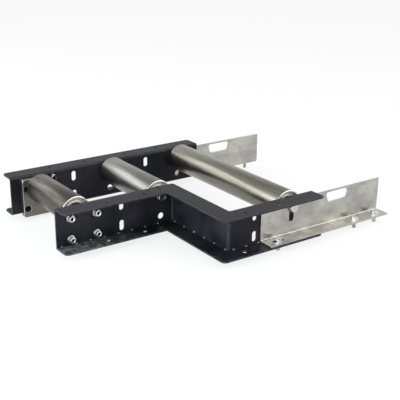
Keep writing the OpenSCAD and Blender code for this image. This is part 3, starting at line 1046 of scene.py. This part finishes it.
@dataclass(frozen=True)
class HexNut:
    """Hexagon nut, trimmed on both sides.

    Attributes:
        flat_share: Part of the width across the flats that the trimming leaves flat.
        lead_in: Width and depth of the bore's countersink.
    """

    thread_d: float = 8.0
    play: float = 0.05
    flats: float = 13.0
    height: float = 6.5
    flat_share: float = 0.96
    lead_in: float = 0.6
    bore_shade: float = 0.7

    def pattern(self) -> Bench:
        """Shapes the nut from its foot up.

        Returns:
            The nut.
        """
        bench = Bench()
        flat_r = self.flats / 2.0 * self.flat_share
        bore = self.thread_d / 2.0 + self.play
        top = bench.pulled(bench.hexagon(self.flats), self.height)[1]
        foot = next(face for face in bench.mesh.faces if abs(face.calc_center_median().z) < LEVEL)
        for face, level, way in ((top, self.height, 1.0), (foot, 0.0, -1.0)):
            bench.cone_down(face, flat_r, level, way)
            bench.step_in(face, level, flat_r)
            bench.step_in(face, level, bore + self.lead_in)
            bench.step_in(face, level - way * self.lead_in, bore)
        edges = [*top.edges, *foot.edges]
        bmesh.ops.delete(bench.mesh, geom=[top, foot], context="FACES_ONLY")
        # The bore is marked for painted shade
        for face in bmesh.ops.bridge_loops(bench.mesh, edges=edges)["faces"]:
            face[bench.shaded] = self.bore_shade
        return bench


@dataclass(frozen=True)
class Threaded:
    """What bolts and screws share: a plain neck, a thread and a pointed end.

    Attributes:
        shows_thread: Whether the thread is wound, and not hidden in its hole.
        depth_share: Depth of the thread as a share of its pitch.
    """

    thread_d: float = 8.0
    pitch: float = 1.25
    length: float = 19.6
    shows_thread: bool = True
    depth_share: float = 0.6

    @property
    def crest(self) -> float:
        """Radius of the thread's ridge."""
        return self.thread_d / 2.0

    @property
    def root(self) -> float:
        """Radius of the thread's core."""
        return self.crest - self.depth_share * self.pitch

    def shank(self, neck: float, shoulder: float, tip: Span) -> list[tuple[float, float]]:
        """Gives the outline of the shank below the head.

        Args:
            neck: Length of the plain neck.
            shoulder: Depth at which the thread starts.
            tip: Width and length of the pointed end.

        Returns:
            Points as radius and height, down to the axis at the end.
        """
        core = self.root if self.shows_thread else self.crest
        end = -self.length
        return [
            (self.crest, -neck),
            (core, -shoulder),
            (core, end + tip[1]),
            (core - tip[0], end),
            (0.0, end),
        ]

    def wind(self, bench: Bench, shoulder: float) -> Bench:
        """Winds the thread if it shows.

        Args:
            bench: The bolt or screw under work.
            shoulder: Depth at which the thread starts.

        Returns:
            The bench.
        """
        if self.shows_thread:
            bench.thread(self.crest, self.root, self.pitch, -shoulder, -self.length)
        return bench


@dataclass(frozen=True)
class HexBolt(Threaded):
    """Hexagon bolt: trimmed head with a shallow dish, plain neck and thread.

    Attributes:
        flat_share: Part of the width across the flats that the trimming leaves flat.
        dish_shares: The dish's rim and floor as shares of that flat.
        joined: How far the shank reaches into the head.
    """

    thread_d: float = 7.98
    flats: float = 13.0
    head: float = 5.5
    neck: float = 3.0
    run_out: float = 0.3
    tip: Span = (0.5, 0.8)
    flat_share: float = 0.96
    dish_shares: Span = (0.86, 0.80)
    dish: float = 0.25
    joined: float = 0.05
    segments: int = 40

    def pattern(self) -> Bench:
        """Shapes the bolt with the underside of its head at height 0.

        Returns:
            The bolt.
        """
        bench = Bench()
        flat_r = self.flats / 2.0 * self.flat_share
        top = bench.pulled(bench.hexagon(self.flats), self.head)[1]
        bench.cone_down(top, flat_r, self.head, 1.0)
        bench.step_in(top, self.head, flat_r)
        bench.step_in(top, self.head, flat_r * self.dish_shares[0])
        bench.step_in(top, self.head - self.dish, flat_r * self.dish_shares[1])
        root_of_head = [(0.0, self.joined), (self.crest, self.joined)]
        shoulder = self.neck + self.run_out
        bench.lathe(root_of_head + self.shank(self.neck, shoulder, self.tip), self.segments)
        return self.wind(bench, shoulder)


@dataclass(frozen=True)
class SocketScrew(Threaded):
    """Cylinder-head screw with a knurled side, a rounded rim and a hexagon socket.

    Attributes:
        rim: Rounded rim of the head, as distances in from its side and down from its top.
        knurl: Lower and upper end of the knurled band, from the underside and from the top.
    """

    head_d: float = 13.0
    head: float = 8.0
    foot_ease: Span = (0.5, 0.7)
    rim: Outline = ((1.0, 0.0), (0.55, 0.12), (0.2, 0.4), (0.04, 0.9), (0.0, 1.5))
    knurl: Span = (0.6, 1.4)
    knurl_depth: float = 0.25
    flats: float = 6.0
    socket: float = 4.0
    socket_ease: float = 0.35
    drill_point: float = 0.8
    neck: float = 0.4
    shoulder: float = 0.8
    tip: Span = (0.7, 1.0)
    segments: int = 96

    def pattern(self) -> Bench:
        """Shapes the screw with the underside of its head at height 0.

        Returns:
            The screw.
        """
        bench = Bench()
        outer, top = self.head_d / 2.0, self.head
        head = [(outer - inwards, top - down) for inwards, down in self.rim]
        foot = [(outer, self.foot_ease[1]), (outer - self.foot_ease[0], 0.0), (self.crest, 0.0)]
        shank = self.shank(self.neck, self.shoulder, self.tip)
        bench.lathe(head + foot + shank, self.segments)
        self.press_knurl(bench)
        face = bench.cap(top)
        half, ease = self.flats / 2.0, self.socket_ease
        bench.step_in(face, top, half + ease, six_sided=True)
        bench.step_in(face, top - ease, half, six_sided=True)
        bench.sink(face, self.socket - ease, self.drill_point)
        return self.wind(bench, self.shoulder)

    def press_knurl(self, bench: Bench) -> None:
        """Presses every other line of points inwards.

        Args:
            bench: The screw under work.
        """
        step = 2.0 * math.pi / self.segments
        low, high = self.knurl[0], self.head - self.knurl[1]
        for vert in bench.mesh.verts:
            line = round(math.atan2(vert.co.y, vert.co.x) / step)
            if low < vert.co.z < high and line % 2:
                vert.co.xy *= 1.0 - self.knurl_depth / (self.head_d / 2.0)


M8_WASHER = Washer()
M8_NUT = HexNut()


def fasten(
    node: str,
    part: Washer | HexNut | HexBolt | SocketScrew,
    places: Iterable[Matrix],
    finish: Finish = FASTENER_ZINC,
) -> None:
    """Builds one kind of fastener at its places.

    Args:
        node: Node of the model that the set stands for.
        part: The fastener.
        places: Where each one goes.
        finish: Its finish.
    """
    Bench().stamp(part.pattern(), places).finish(f"{node}_turned", node, finish)


# Sub-assemblies


@dataclass
class Rails:
    """The straight rail and the welded stepped rail.

    Attributes:
        bead_stops: Last place of a bead along the narrow bay, the step and the wide bay.
        lump_size: Mean size of a bead and how much its lumps add or take, as shares of its radius.
    """

    step_x: float = 257.0
    height: float = 80.0
    ease: float = 0.35
    bead_r: float = 2.5
    bead_start: float = 10.0
    bead_pitch: float = 30.0
    step_bead_pitch: float = 33.5
    bead_stops: Point = (247.2, 179.0, 68.2)
    wide_beads: int = 3
    lumps_per_mm: float = 0.55
    lump_size: Span = (0.93, 0.16)
    bead_limit: float = 60.0

    def build(self) -> None:
        """Builds every piece of both rails."""
        coats = {
            "far_rail": POWDER,
            "near_rail_web": POWDER,
            "near_rail_top_flange": POWDER,
            "near_rail_bottom_flange": SMUDGED_POWDER,
        }
        for node, coat in coats.items():
            bench = Bench().eased_copy(node, self.ease)
            bench.finish(f"{node}_coated", node, coat, flat_faces=True)
        self.beads()

    def bead_places(self) -> list[Point]:
        """Gives the foot of each bead on the outer face of the stepped web.

        Returns:
            Places as x, y and the turn about Z that points away from the web.
        """
        narrow_stop, step_stop, wide_stop = self.bead_stops
        narrow, wide = NARROW_Y - SHEET, WIDE_Y - SHEET
        places = []
        x = self.bead_start
        while x <= narrow_stop:
            places.append((x, narrow, 0.0))
            x += self.bead_pitch
        run = self.bead_start
        while run <= step_stop:
            places.append((self.step_x - SHEET, narrow - run, -90.0))
            run += self.step_bead_pitch
        for index in range(self.wide_beads):
            run = self.bead_start + (wide_stop - self.bead_start) * index / (self.wide_beads - 1)
            places.append((self.step_x + run, wide, 0.0))
        return places

    def bead(self, index: int) -> Bench:
        """Shapes one bead as an uneven lump in the corner between web and flange.

        Args:
            index: Number of the bead, which gives it a shape of its own.

        Returns:
            The bead, its web towards +Y and its flange below.
        """
        bench = Bench()
        bmesh.ops.create_icosphere(bench.mesh, subdivisions=3, radius=self.bead_r)
        stride_x, row, stride_z = 3.7, 1.3, 1.9
        own_place = Vector((index * stride_x, row, index * stride_z))
        mean, added = self.lump_size
        for vert in bench.mesh.verts:
            vert.co *= mean + added * noise.noise(vert.co * self.lumps_per_mm + own_place)
        for outwards in (Vector((0.0, 1.0, 0.0)), Vector((0.0, 0.0, -1.0))):
            cut = bmesh.ops.bisect_plane(
                bench.mesh,
                geom=bench.mesh.verts[:] + bench.mesh.edges[:] + bench.mesh.faces[:],
                plane_co=(0.0, 0.0, 0.0),
                plane_no=outwards,
                clear_outer=True,
            )["geom_cut"]
            rim = [item for item in cut if isinstance(item, bmesh.types.BMEdge)]
            bmesh.ops.edgenet_fill(bench.mesh, edges=rim)
        return bench

    def beads(self) -> None:
        """Builds the beads on both flanges, no two alike."""
        bench = Bench()
        upper_start = 50
        for index, (x, y, turn) in enumerate(self.bead_places()):
            across = Matrix.Rotation(math.radians(turn), 4, "Z")
            low = seat(x, y, SHEET) @ across
            high = seat(x, y, self.height - SHEET, flip=True) @ across
            bench.stamp(self.bead(index), [low])
            bench.stamp(self.bead(index + upper_start), [high])
        bench.finish(
            "near_rail_beads_coated", "near_rail_weld_beads", BEAD_HIGHLIGHT_POWDER, limit=self.bead_limit
        )


@dataclass
class BearingPlates:
    """The two plates that hold the first roller's axle, with their screws.

    Attributes:
        recess_reach: Distance from a screw's axis within which a face belongs to its recess.
    """

    screw_xs: Span = (29.5, 83.5)
    far_zs: Span = (13.0, 55.5)
    near_zs: Span = (14.5, 57.0)
    plate: float = 12.0
    recess: float = 9.0
    recess_reach: float = 7.45
    ease: float = 0.5
    far_screw: SocketScrew = SocketScrew(length=19.6)
    near_screw: SocketScrew = SocketScrew(length=15.6, shows_thread=False)

    def build(self) -> None:
        """Builds both plates and everything that holds them."""
        for node in ("far_bearing_plate", "near_bearing_plate"):
            bench = Bench().eased_copy(node, self.ease)
            if node == "far_bearing_plate":
                # Paints shade into the straight rail's plate recesses
                self.paint_recess_shade(bench)
            bench.finish(f"{node}_plated", node, PLATE_ZINC, flat_faces=True)
        far_web, near_web, thick = SHEET, NARROW_Y - SHEET, M8_WASHER.thickness
        sunk = self.places(self.far_zs, self.recess - self.plate, 90.0)
        fasten("far_plate_screws", self.far_screw, sunk, BLACK_OXIDE)
        fasten("far_plate_washers", M8_WASHER, self.places(self.far_zs, far_web, -90.0))
        fasten("far_plate_nuts", M8_NUT, self.places(self.far_zs, far_web + thick, -90.0))
        outside = self.places(self.near_zs, near_web - thick, 90.0)
        fasten("near_plate_screws", self.near_screw, outside)
        fasten("near_plate_washers", M8_WASHER, self.places(self.near_zs, near_web, 90.0))

    def paint_recess_shade(self, bench: Bench) -> None:
        """Marks the walls and floors of the recesses round the sunk screws for painted shade.

        Args:
            bench: The straight rail's plate under work.
        """
        holes = [(x, z) for x in self.screw_xs for z in self.far_zs]
        for face in bench.mesh.faces:
            centre = face.calc_center_median()
            if any(math.hypot(centre.x - x, centre.z - z) < self.recess_reach for x, z in holes):
                face[bench.shaded] = 1.0

    def places(self, heights: Span, y: float, turn: float) -> list[Matrix]:
        """Gives the places at the four holes of a plate.

        Args:
            heights: Heights of the two rows.
            y: Where a fastener's foot lies.
            turn: Turn that points it along Y.

        Returns:
            The places.
        """
        return [seat(x, y, z, turn) for x in self.screw_xs for z in heights]


@dataclass
class ConnectionPlates:
    """The two angle brackets, with the bolts in their feet."""

    seat_xs: tuple[float, ...] = (358.0,)
    standing_xs: tuple[float, ...] = (559.5, 617.5)
    slot_ys: Span = (22.0, -410.0)
    foot_top: float = 6.0
    ease: float = 0.35
    bolt: HexBolt = HexBolt()

    def build(self) -> None:
        """Builds the brackets and their fasteners."""
        for node in ("far_connection_plate", "near_connection_plate"):
            bench = Bench().eased_copy(node, self.ease)
            bench.finish(f"{node}_plated", node, BRACKET_ZINC, flat_faces=True)
        thick = M8_WASHER.thickness
        fasten("seat_bolts", self.bolt, self.places(self.seat_xs, self.foot_top))
        fasten("conveyor_bolts", self.bolt, self.places(self.standing_xs, self.foot_top))
        fasten("seat_bolt_washers", M8_WASHER, self.places(self.seat_xs, -thick))
        fasten("seat_bolt_nuts", M8_NUT, self.places(self.seat_xs, -thick - M8_NUT.height))

    def places(self, xs: Sequence[float], z: float) -> list[Matrix]:
        """Gives the places in both feet.

        Args:
            xs: Places along the rails.
            z: Height of a fastener's foot.

        Returns:
            The places.
        """
        return [seat(x, y, z) for x in xs for y in self.slot_ys]


@dataclass
class AxleBolts:
    """Bolts and washers that clamp the axles of the second and third rollers.

    Attributes:
        far_skins: Outer faces that the straight rail's washers lie on.
        near_skins: Outer faces that the stepped rail's washers lie on.
    """

    far_skins: Span = (SHEET, 2.0 * SHEET)
    near_skins: Span = (NARROW_Y - SHEET, WIDE_Y - 2.0 * SHEET)
    washer: Washer = Washer(bore=10.2, outer=20.0, thickness=2.0)
    bolt: HexBolt = HexBolt(
        thread_d=10.0, pitch=1.5, length=23.0, shows_thread=False, flats=17.0, head=6.5, neck=2.0
    )

    def places(self, lift: float) -> list[Matrix]:
        """Gives the four places, at a distance from the skin.

        Args:
            lift: The distance.

        Returns:
            The places.
        """
        found = []
        for x, far, near in zip(ROLLER_XS[1:], self.far_skins, self.near_skins):
            found.append(seat(x, far + lift, AXLE_Z, -90.0))
            found.append(seat(x, near - lift, AXLE_Z, 90.0))
        return found

    def build(self) -> None:
        """Builds both sets."""
        fasten("axle_bolt_washers", self.washer, self.places(0.0), SHADE_DARKENED_ZINC)
        fasten("axle_bolts", self.bolt, self.places(self.washer.thickness))


@dataclass
class Roller:
    """One idle roller: tube, pressed cups and bearings on a fixed axle.

    Attributes:
        near_y: Inner face of the web that carries the axle's near end.
        gaps: Clearances between the tube and the far and near webs.
        tapped: Whether the axle's ends take bolts.
        rim: Rounded outer rim of the tube, as distances in from its skin and from its end.
        lip_shape: Rolled lip and groove of the cup, as distances out from its hole and in.
        skirt_shape: The cup's outer corner, as distances in from its wall and in.
        rib_inside: Inner half of a seal's ribbed face, as distances out from its edge and in.
        rib_outside: Outer half of that face, as distances in from its edge and in.
    """

    number: int
    near_y: float
    body: Body
    finish: DrawnTube
    gaps: Span = (11.0, 6.0)
    tapped: bool = True
    outer_r: float = 29.0
    wall: float = 3.0
    inset: float = 4.0
    bore_ease: float = 0.3
    rim: Outline = ((1.0, 0.0), (0.3, 0.35), (0.0, 1.1))
    axle_r: float = 10.0
    chamfer: float = 0.4
    circlip_depth: float = 0.5
    circlip_width: float = 1.2
    tap_r: float = 5.1
    tap_depth: float = 23.0
    lip: float = 2.0
    lip_hole_r: float = 15.5
    lip_shape: Outline = (
        *((0.0, 0.8), (0.3, 0.2), (1.0, 0.0)),
        *((3.0, 0.0), (3.6, 0.25), (4.2, 0.9), (5.6, 0.9), (6.2, 0.25), (6.8, 0.0)),
    )
    skirt_shape: Outline = ((1.2, 0.0), (0.4, 0.3), (0.0, 1.2))
    clearance: float = 0.02
    bearing_r: float = 21.0
    bearing_w: float = 12.0
    inner_land_r: float = 13.5
    outer_land_r: float = 17.5
    groove_r: float = 3.3
    groove_steps: int = 8
    race_ease: float = 0.3
    seal_gap: float = 0.3
    seal_t: float = 1.2
    rib_inside: Outline = ((0.0, 0.4), (0.4, 0.1), (1.0, 0.35))
    rib_outside: Outline = ((1.2, 0.35), (0.6, 0.05), (0.0, 0.3))
    tube_segments: int = 144
    axle_segments: int = 64
    end_segments: int = 72

    @property
    def tag(self) -> str:
        """Start of the names of this roller's nodes."""
        return f"roller_{self.number}"

    @property
    def length(self) -> float:
        """Length of the tube."""
        return -self.gaps[0] - self.near_y - self.gaps[1]

    @property
    def bearing(self) -> Span:
        """Depths at which a bearing starts and ends, from the tube's end."""
        return self.inset + self.lip, self.inset + self.lip + self.bearing_w

    def place(self, inwards: float) -> Matrix:
        """Gives the place of a piece that starts at a distance from the near web."""
        return seat(ROLLER_XS[self.number - 1], self.near_y + inwards, AXLE_Z, -90.0)

    def build(self) -> None:
        """Builds the pieces of the roller and of its axle."""
        self.tube()
        self.axle()
        self.ends("housings", [self.cup()], CUP_ZINC, self.body)
        outer_race = self.race(self.bearing_r - self.clearance, self.outer_land_r)
        self.ends("outer_races", [outer_race], BEARING_STEEL, self.body)
        inner_race = self.race(self.axle_r + self.clearance, self.inner_land_r)
        self.ends("inner_races", [inner_race], BEARING_STEEL, Body.FRAME)
        self.ends("seals", self.seals(), SEAL, self.body)
        dress(f"{self.tag}_circlips", BLACK_OXIDE)
        dress(f"{self.tag}_ball_sets", BEARING_STEEL)

    def ends(self, kind: str, outlines: Sequence[Outline], finish: Finish, body: Body) -> None:
        """Spins ring-shaped pieces and puts them in both ends.

        Args:
            kind: Last part of the node's name.
            outlines: Closed outlines as radius and depth from the tube's end.
            finish: Their finish.
            body: Body that they ride on.
        """
        pattern = Bench()
        for outline in outlines:
            pattern.lathe(outline, self.end_segments, ring=True)
        near = self.place(self.gaps[1])
        turned = Matrix.Translation((0.0, 0.0, self.length)) @ Matrix.Diagonal((1, 1, -1, 1))
        node = f"{self.tag}_{kind}"
        bench = Bench().stamp(pattern, [near, near @ turned])
        bench.finish(f"{node}_turned", node, finish, body)

    def tube(self) -> None:
        """Turns the tube, with eased rims."""
        bench = Bench()
        inner, long = self.outer_r - self.wall, self.length
        half = [(inner, long / 2.0), (inner, self.inset), (inner, self.bore_ease)]
        half.append((inner + self.bore_ease, 0.0))
        half += [(self.outer_r - inwards, depth) for inwards, depth in self.rim]
        other = [(radius, long - depth) for radius, depth in reversed(half[1:])]
        bench.lathe(half + other, self.tube_segments, ring=True)
        # Marks the ends and the inner wall near them for the bright rim: bare steel, lightened
        # further as a painted highlight
        for face in bench.mesh.faces:
            middle = face.calc_center_median().z
            if min(middle, long - middle) < self.inset:
                face[bench.eased] = 1.0
        node = f"{self.tag}_tube"
        bench = Bench().stamp(bench, [self.place(self.gaps[1])])
        bench.finish(f"{node}_drawn", node, self.finish, self.body)

    def axle(self) -> None:
        """Turns the axle, with chamfers, circlip grooves and tapped ends."""
        bench = Bench()
        long = -self.near_y
        far, near = (self.axle_end(gap) for gap in self.gaps)
        other = [(radius, long - depth) for radius, depth in reversed(far)]
        bench.lathe(near + other, self.axle_segments)
        node = f"{self.tag}_axle"
        bench = Bench().stamp(bench, [self.place(0.0)])
        bench.finish(f"{node}_turned", node, TURNED_STEEL)

    def axle_end(self, gap: float) -> list[tuple[float, float]]:
        """Gives the outline of one end of the axle, up to its circlip groove.

        Args:
            gap: Clearance between web and tube at this end.

        Returns:
            Points as radius and depth.
        """
        skin, floor = self.axle_r, self.axle_r - self.circlip_depth
        behind = gap + self.bearing[0]
        groove = behind - self.circlip_width
        start = [(0.0, 0.0)]
        if self.tapped:
            start = [(0.0, self.tap_depth), (self.tap_r, self.tap_depth), (self.tap_r, 0.0)]
        chamfer = [(skin - self.chamfer, 0.0), (skin, self.chamfer)]
        return start + chamfer + [(skin, groove), (floor, groove), (floor, behind), (skin, behind)]

    def cup(self) -> Outline:
        """Gives the section of the pressed cup, with a rolled lip and a stiffening groove.

        Returns:
            The closed outline.
        """
        wall = self.outer_r - self.wall - self.clearance
        back, end = self.bearing
        return [
            (self.lip_hole_r, back),
            *((self.lip_hole_r + out, self.inset + deep) for out, deep in self.lip_shape),
            *((wall - inwards, self.inset + deep) for inwards, deep in self.skirt_shape),
            (wall, end),
            (self.bearing_r, end),
            (self.bearing_r, back),
        ]

    def race(self, back_r: float, land_r: float) -> Outline:
        """Gives the section of a race, with its ball groove.

        Args:
            back_r: Radius of the face away from the balls.
            land_r: Radius beside the groove.

        Returns:
            The closed outline.
        """
        start, end = self.bearing
        middle, way = (start + end) / 2.0, 1.0 if back_r < land_r else -1.0
        pitch_r = (self.axle_r + self.bearing_r) / 2.0
        half = math.sqrt(self.groove_r**2 - (pitch_r - land_r) ** 2)
        groove = []
        for step in range(self.groove_steps + 1):
            z = -half + 2.0 * half * step / self.groove_steps
            depth = math.sqrt(max(self.groove_r**2 - z * z, 0.0))
            groove.append((pitch_r - way * depth, middle + z))
        ease = self.race_ease
        return [
            (back_r, start + ease),
            (back_r + way * ease, start),
            (land_r - way * ease, start),
            (land_r, start + ease),
            *groove,
            (land_r, end - ease),
            (land_r - way * ease, end),
            (back_r + way * ease, end),
            (back_r, end - ease),
        ]

    def seals(self) -> list[Outline]:
        """Gives the sections of both seals of a bearing, each with a moulded rib.

        Returns:
            The closed outlines.
        """
        inner, outer = self.inner_land_r + self.seal_gap, self.outer_land_r - self.clearance
        shape = [
            (inner, self.seal_t),
            *((inner + out, deep) for out, deep in self.rib_inside),
            *((outer - inwards, deep) for inwards, deep in self.rib_outside),
            (outer, self.seal_t),
        ]
        start, end = self.bearing
        return [
            [(radius, start + depth) for radius, depth in shape],
            [(radius, end - depth) for radius, depth in shape],
        ]


# Studio


@dataclass(frozen=True)
class Lamp:
    """Soft rectangular lamp, in metres and watts."""

    name: str
    place: Point
    size: Span
    power: float
    tint: Colour = (1.0, 1.0, 1.0)

    def hang(self, aim: Point) -> None:
        """Hangs the lamp.

        Args:
            aim: Point that it looks at.
        """
        data = bpy.data.lights.new(self.name, "AREA")
        data.shape = "RECTANGLE"
        data.size, data.size_y = self.size
        data.energy = self.power
        data.color = self.tint
        lamp = bpy.data.objects.new(self.name, data)
        lamp.location = self.place
        look = Vector(aim) - Vector(self.place)
        lamp.rotation_euler = look.to_track_quat("-Z", "Y").to_euler()
        bpy.context.scene.collection.objects.link(lamp)


@dataclass
class Studio:
    """Pale floor, soft lamps, a white surround and the camera.

    Attributes:
        rise: Stops of the surround from the horizon up, as height and level.
        aim: Point that the lamps look at, in metres.
        centre: Image point that the camera's axis meets, in pixels.
        eye: Where the camera stands, in millimetres from the saw end.
        right: Direction of the picture's width. Down and forward are its other two directions.
    """

    floor_z: float = -13.7
    floor_half: float = 14.0
    floor_colour: Colour = (0.92, 0.92, 0.92)
    floor_lift: float = 0.80
    surround_level: float = 0.75
    rise: Outline = ((0.0, 1.0), (0.30, 1.0), (0.50, 0.92), (0.75, 0.66), (1.0, 0.60))
    aim: Point = (0.1, -0.09, 0.04)
    lamps: tuple[Lamp, ...] = (
        Lamp("behind_saw", (-1.0, 1.5, 1.0), (1.8, 0.9), 13.0),
        Lamp("saw_side", (-1.9, -0.35, 0.60), (2.6, 1.1), 60.0, tint=(0.86, 0.93, 1.0)),
        Lamp("before_free_end", (1.35, -1.9, 1.05), (1.8, 1.3), 17.0),
        Lamp("overhead", (1.15, -0.75, 1.75), (1.4, 1.0), 6.5),
    )
    focal_px: float = 804.65
    centre: Span = (201.49, 194.12)
    picture_px: float = 400.0
    sensor_mm: float = 36.0
    clip: Span = (0.05, 100.0)
    eye: Point = (-572.37, -1463.20, 604.79)
    right: Point = (0.81616, -0.57773, 0.01038)
    down: Point = (-0.18915, -0.28409, -0.93996)
    forward: Point = (0.54599, 0.76519, -0.34114)

    def build(self) -> None:
        """Builds the studio."""
        bpy.context.scene.view_settings.view_transform = "Standard"
        self.floor()
        self.surround()
        for lamp in self.lamps:
            lamp.hang(self.aim)
        self.camera()

    def floor(self) -> None:
        """Builds a pale floor that stays white for the camera and keeps the table's shadow."""
        mesh = bmesh.new()
        bmesh.ops.create_grid(mesh, x_segments=1, y_segments=1, size=self.floor_half)
        bmesh.ops.translate(mesh, verts=mesh.verts[:], vec=(0.0, 0.0, self.floor_z * MM))
        data = bpy.data.meshes.new("studio_floor")
        mesh.to_mesh(data)
        mesh.free()
        floor = bpy.data.objects.new("studio_floor", data)
        bpy.context.scene.collection.objects.link(floor)
        material = bpy.data.materials.new("studio_floor")
        sheet = NodeSheet(material)
        matt = sheet.add("ShaderNodeBsdfDiffuse", Color=(*self.floor_colour, 1.0))
        white = sheet.add("ShaderNodeEmission", Color=(1.0, 1.0, 1.0, 1.0), Strength=1.0)
        sheet.show(
            matt.outputs["BSDF"],
            white.outputs["Emission"],
            self.floor_lift,
            "ShaderNodeOutputMaterial",
        )
        data.materials.append(material)

    def surround(self) -> None:
        """Makes the world white near the horizon and grey overhead, with a soft even light.

        The camera, metal and glass see the same surround. Only its light on matt surfaces is even.
        """
        world = bpy.data.worlds.new("studio")
        bpy.context.scene.world = world
        sheet = NodeSheet(world)
        place = sheet.add("ShaderNodeTexCoord")
        split = sheet.add("ShaderNodeSeparateXYZ")
        sheet.join(place.outputs["Generated"], split.inputs["Vector"])
        rise = sheet.add("ShaderNodeValToRGB")
        stops = rise.color_ramp.elements
        stops[0].position, stops[1].position = self.rise[0][0], self.rise[-1][0]
        for position, _ in self.rise[1:-1]:
            stops.new(position)
        for stop, (_, level) in zip(stops, self.rise):
            stop.color = (level, level, level, 1.0)
        sheet.join(split.outputs["Z"], rise.inputs["Fac"])
        seen = sheet.add("ShaderNodeBackground")
        sheet.join(rise.outputs["Color"], seen.inputs["Color"])
        even = sheet.add(
            "ShaderNodeBackground", Color=(1.0, 1.0, 1.0, 1.0), Strength=self.surround_level
        )
        sheet.show(
            even.outputs["Background"], seen.outputs["Background"], 1.0, "ShaderNodeOutputWorld"
        )

    def camera(self) -> None:
        """Sets up the camera that was solved from the photograph."""
        data = bpy.data.cameras.new("camera")
        data.sensor_fit = "HORIZONTAL"
        data.sensor_width = self.sensor_mm
        data.lens = self.focal_px / self.picture_px * self.sensor_mm
        half = self.picture_px / 2.0
        data.shift_x = -(self.centre[0] - half) / self.picture_px
        data.shift_y = (self.centre[1] - half) / self.picture_px
        data.clip_start, data.clip_end = self.clip
        camera = bpy.data.objects.new("camera", data)
        turned = Matrix((self.right, -Vector(self.down), -Vector(self.forward))).transposed()
        place = (Vector(self.eye) - ORIGIN) * MM
        camera.matrix_world = Matrix.Translation(place) @ turned.to_4x4()
        bpy.context.scene.collection.objects.link(camera)
        bpy.context.scene.camera = camera


def rollers() -> list[Roller]:
    """Gives the three rollers, from the saw end to the free end.

    Returns:
        The rollers.
    """
    first = Roller(1, NARROW_Y, Body.ROLLER_1, FIRST_TUBE, gaps=(30.0, 14.0), tapped=False)
    second = Roller(2, NARROW_Y, Body.ROLLER_2, SECOND_TUBE)
    third = Roller(3, WIDE_Y, Body.ROLLER_3, THIRD_TUBE)
    return [first, second, third]


def main() -> None:
    """Builds the sub-assemblies in order, then the studio."""
    logging.basicConfig(level=logging.INFO, format="%(name)s: %(message)s", stream=sys.stdout)
    Rails().build()
    BearingPlates().build()
    ConnectionPlates().build()
    AxleBolts().build()
    for roller in rollers():
        roller.build()
    Studio().build()


if __name__ == "__main__":
    main()
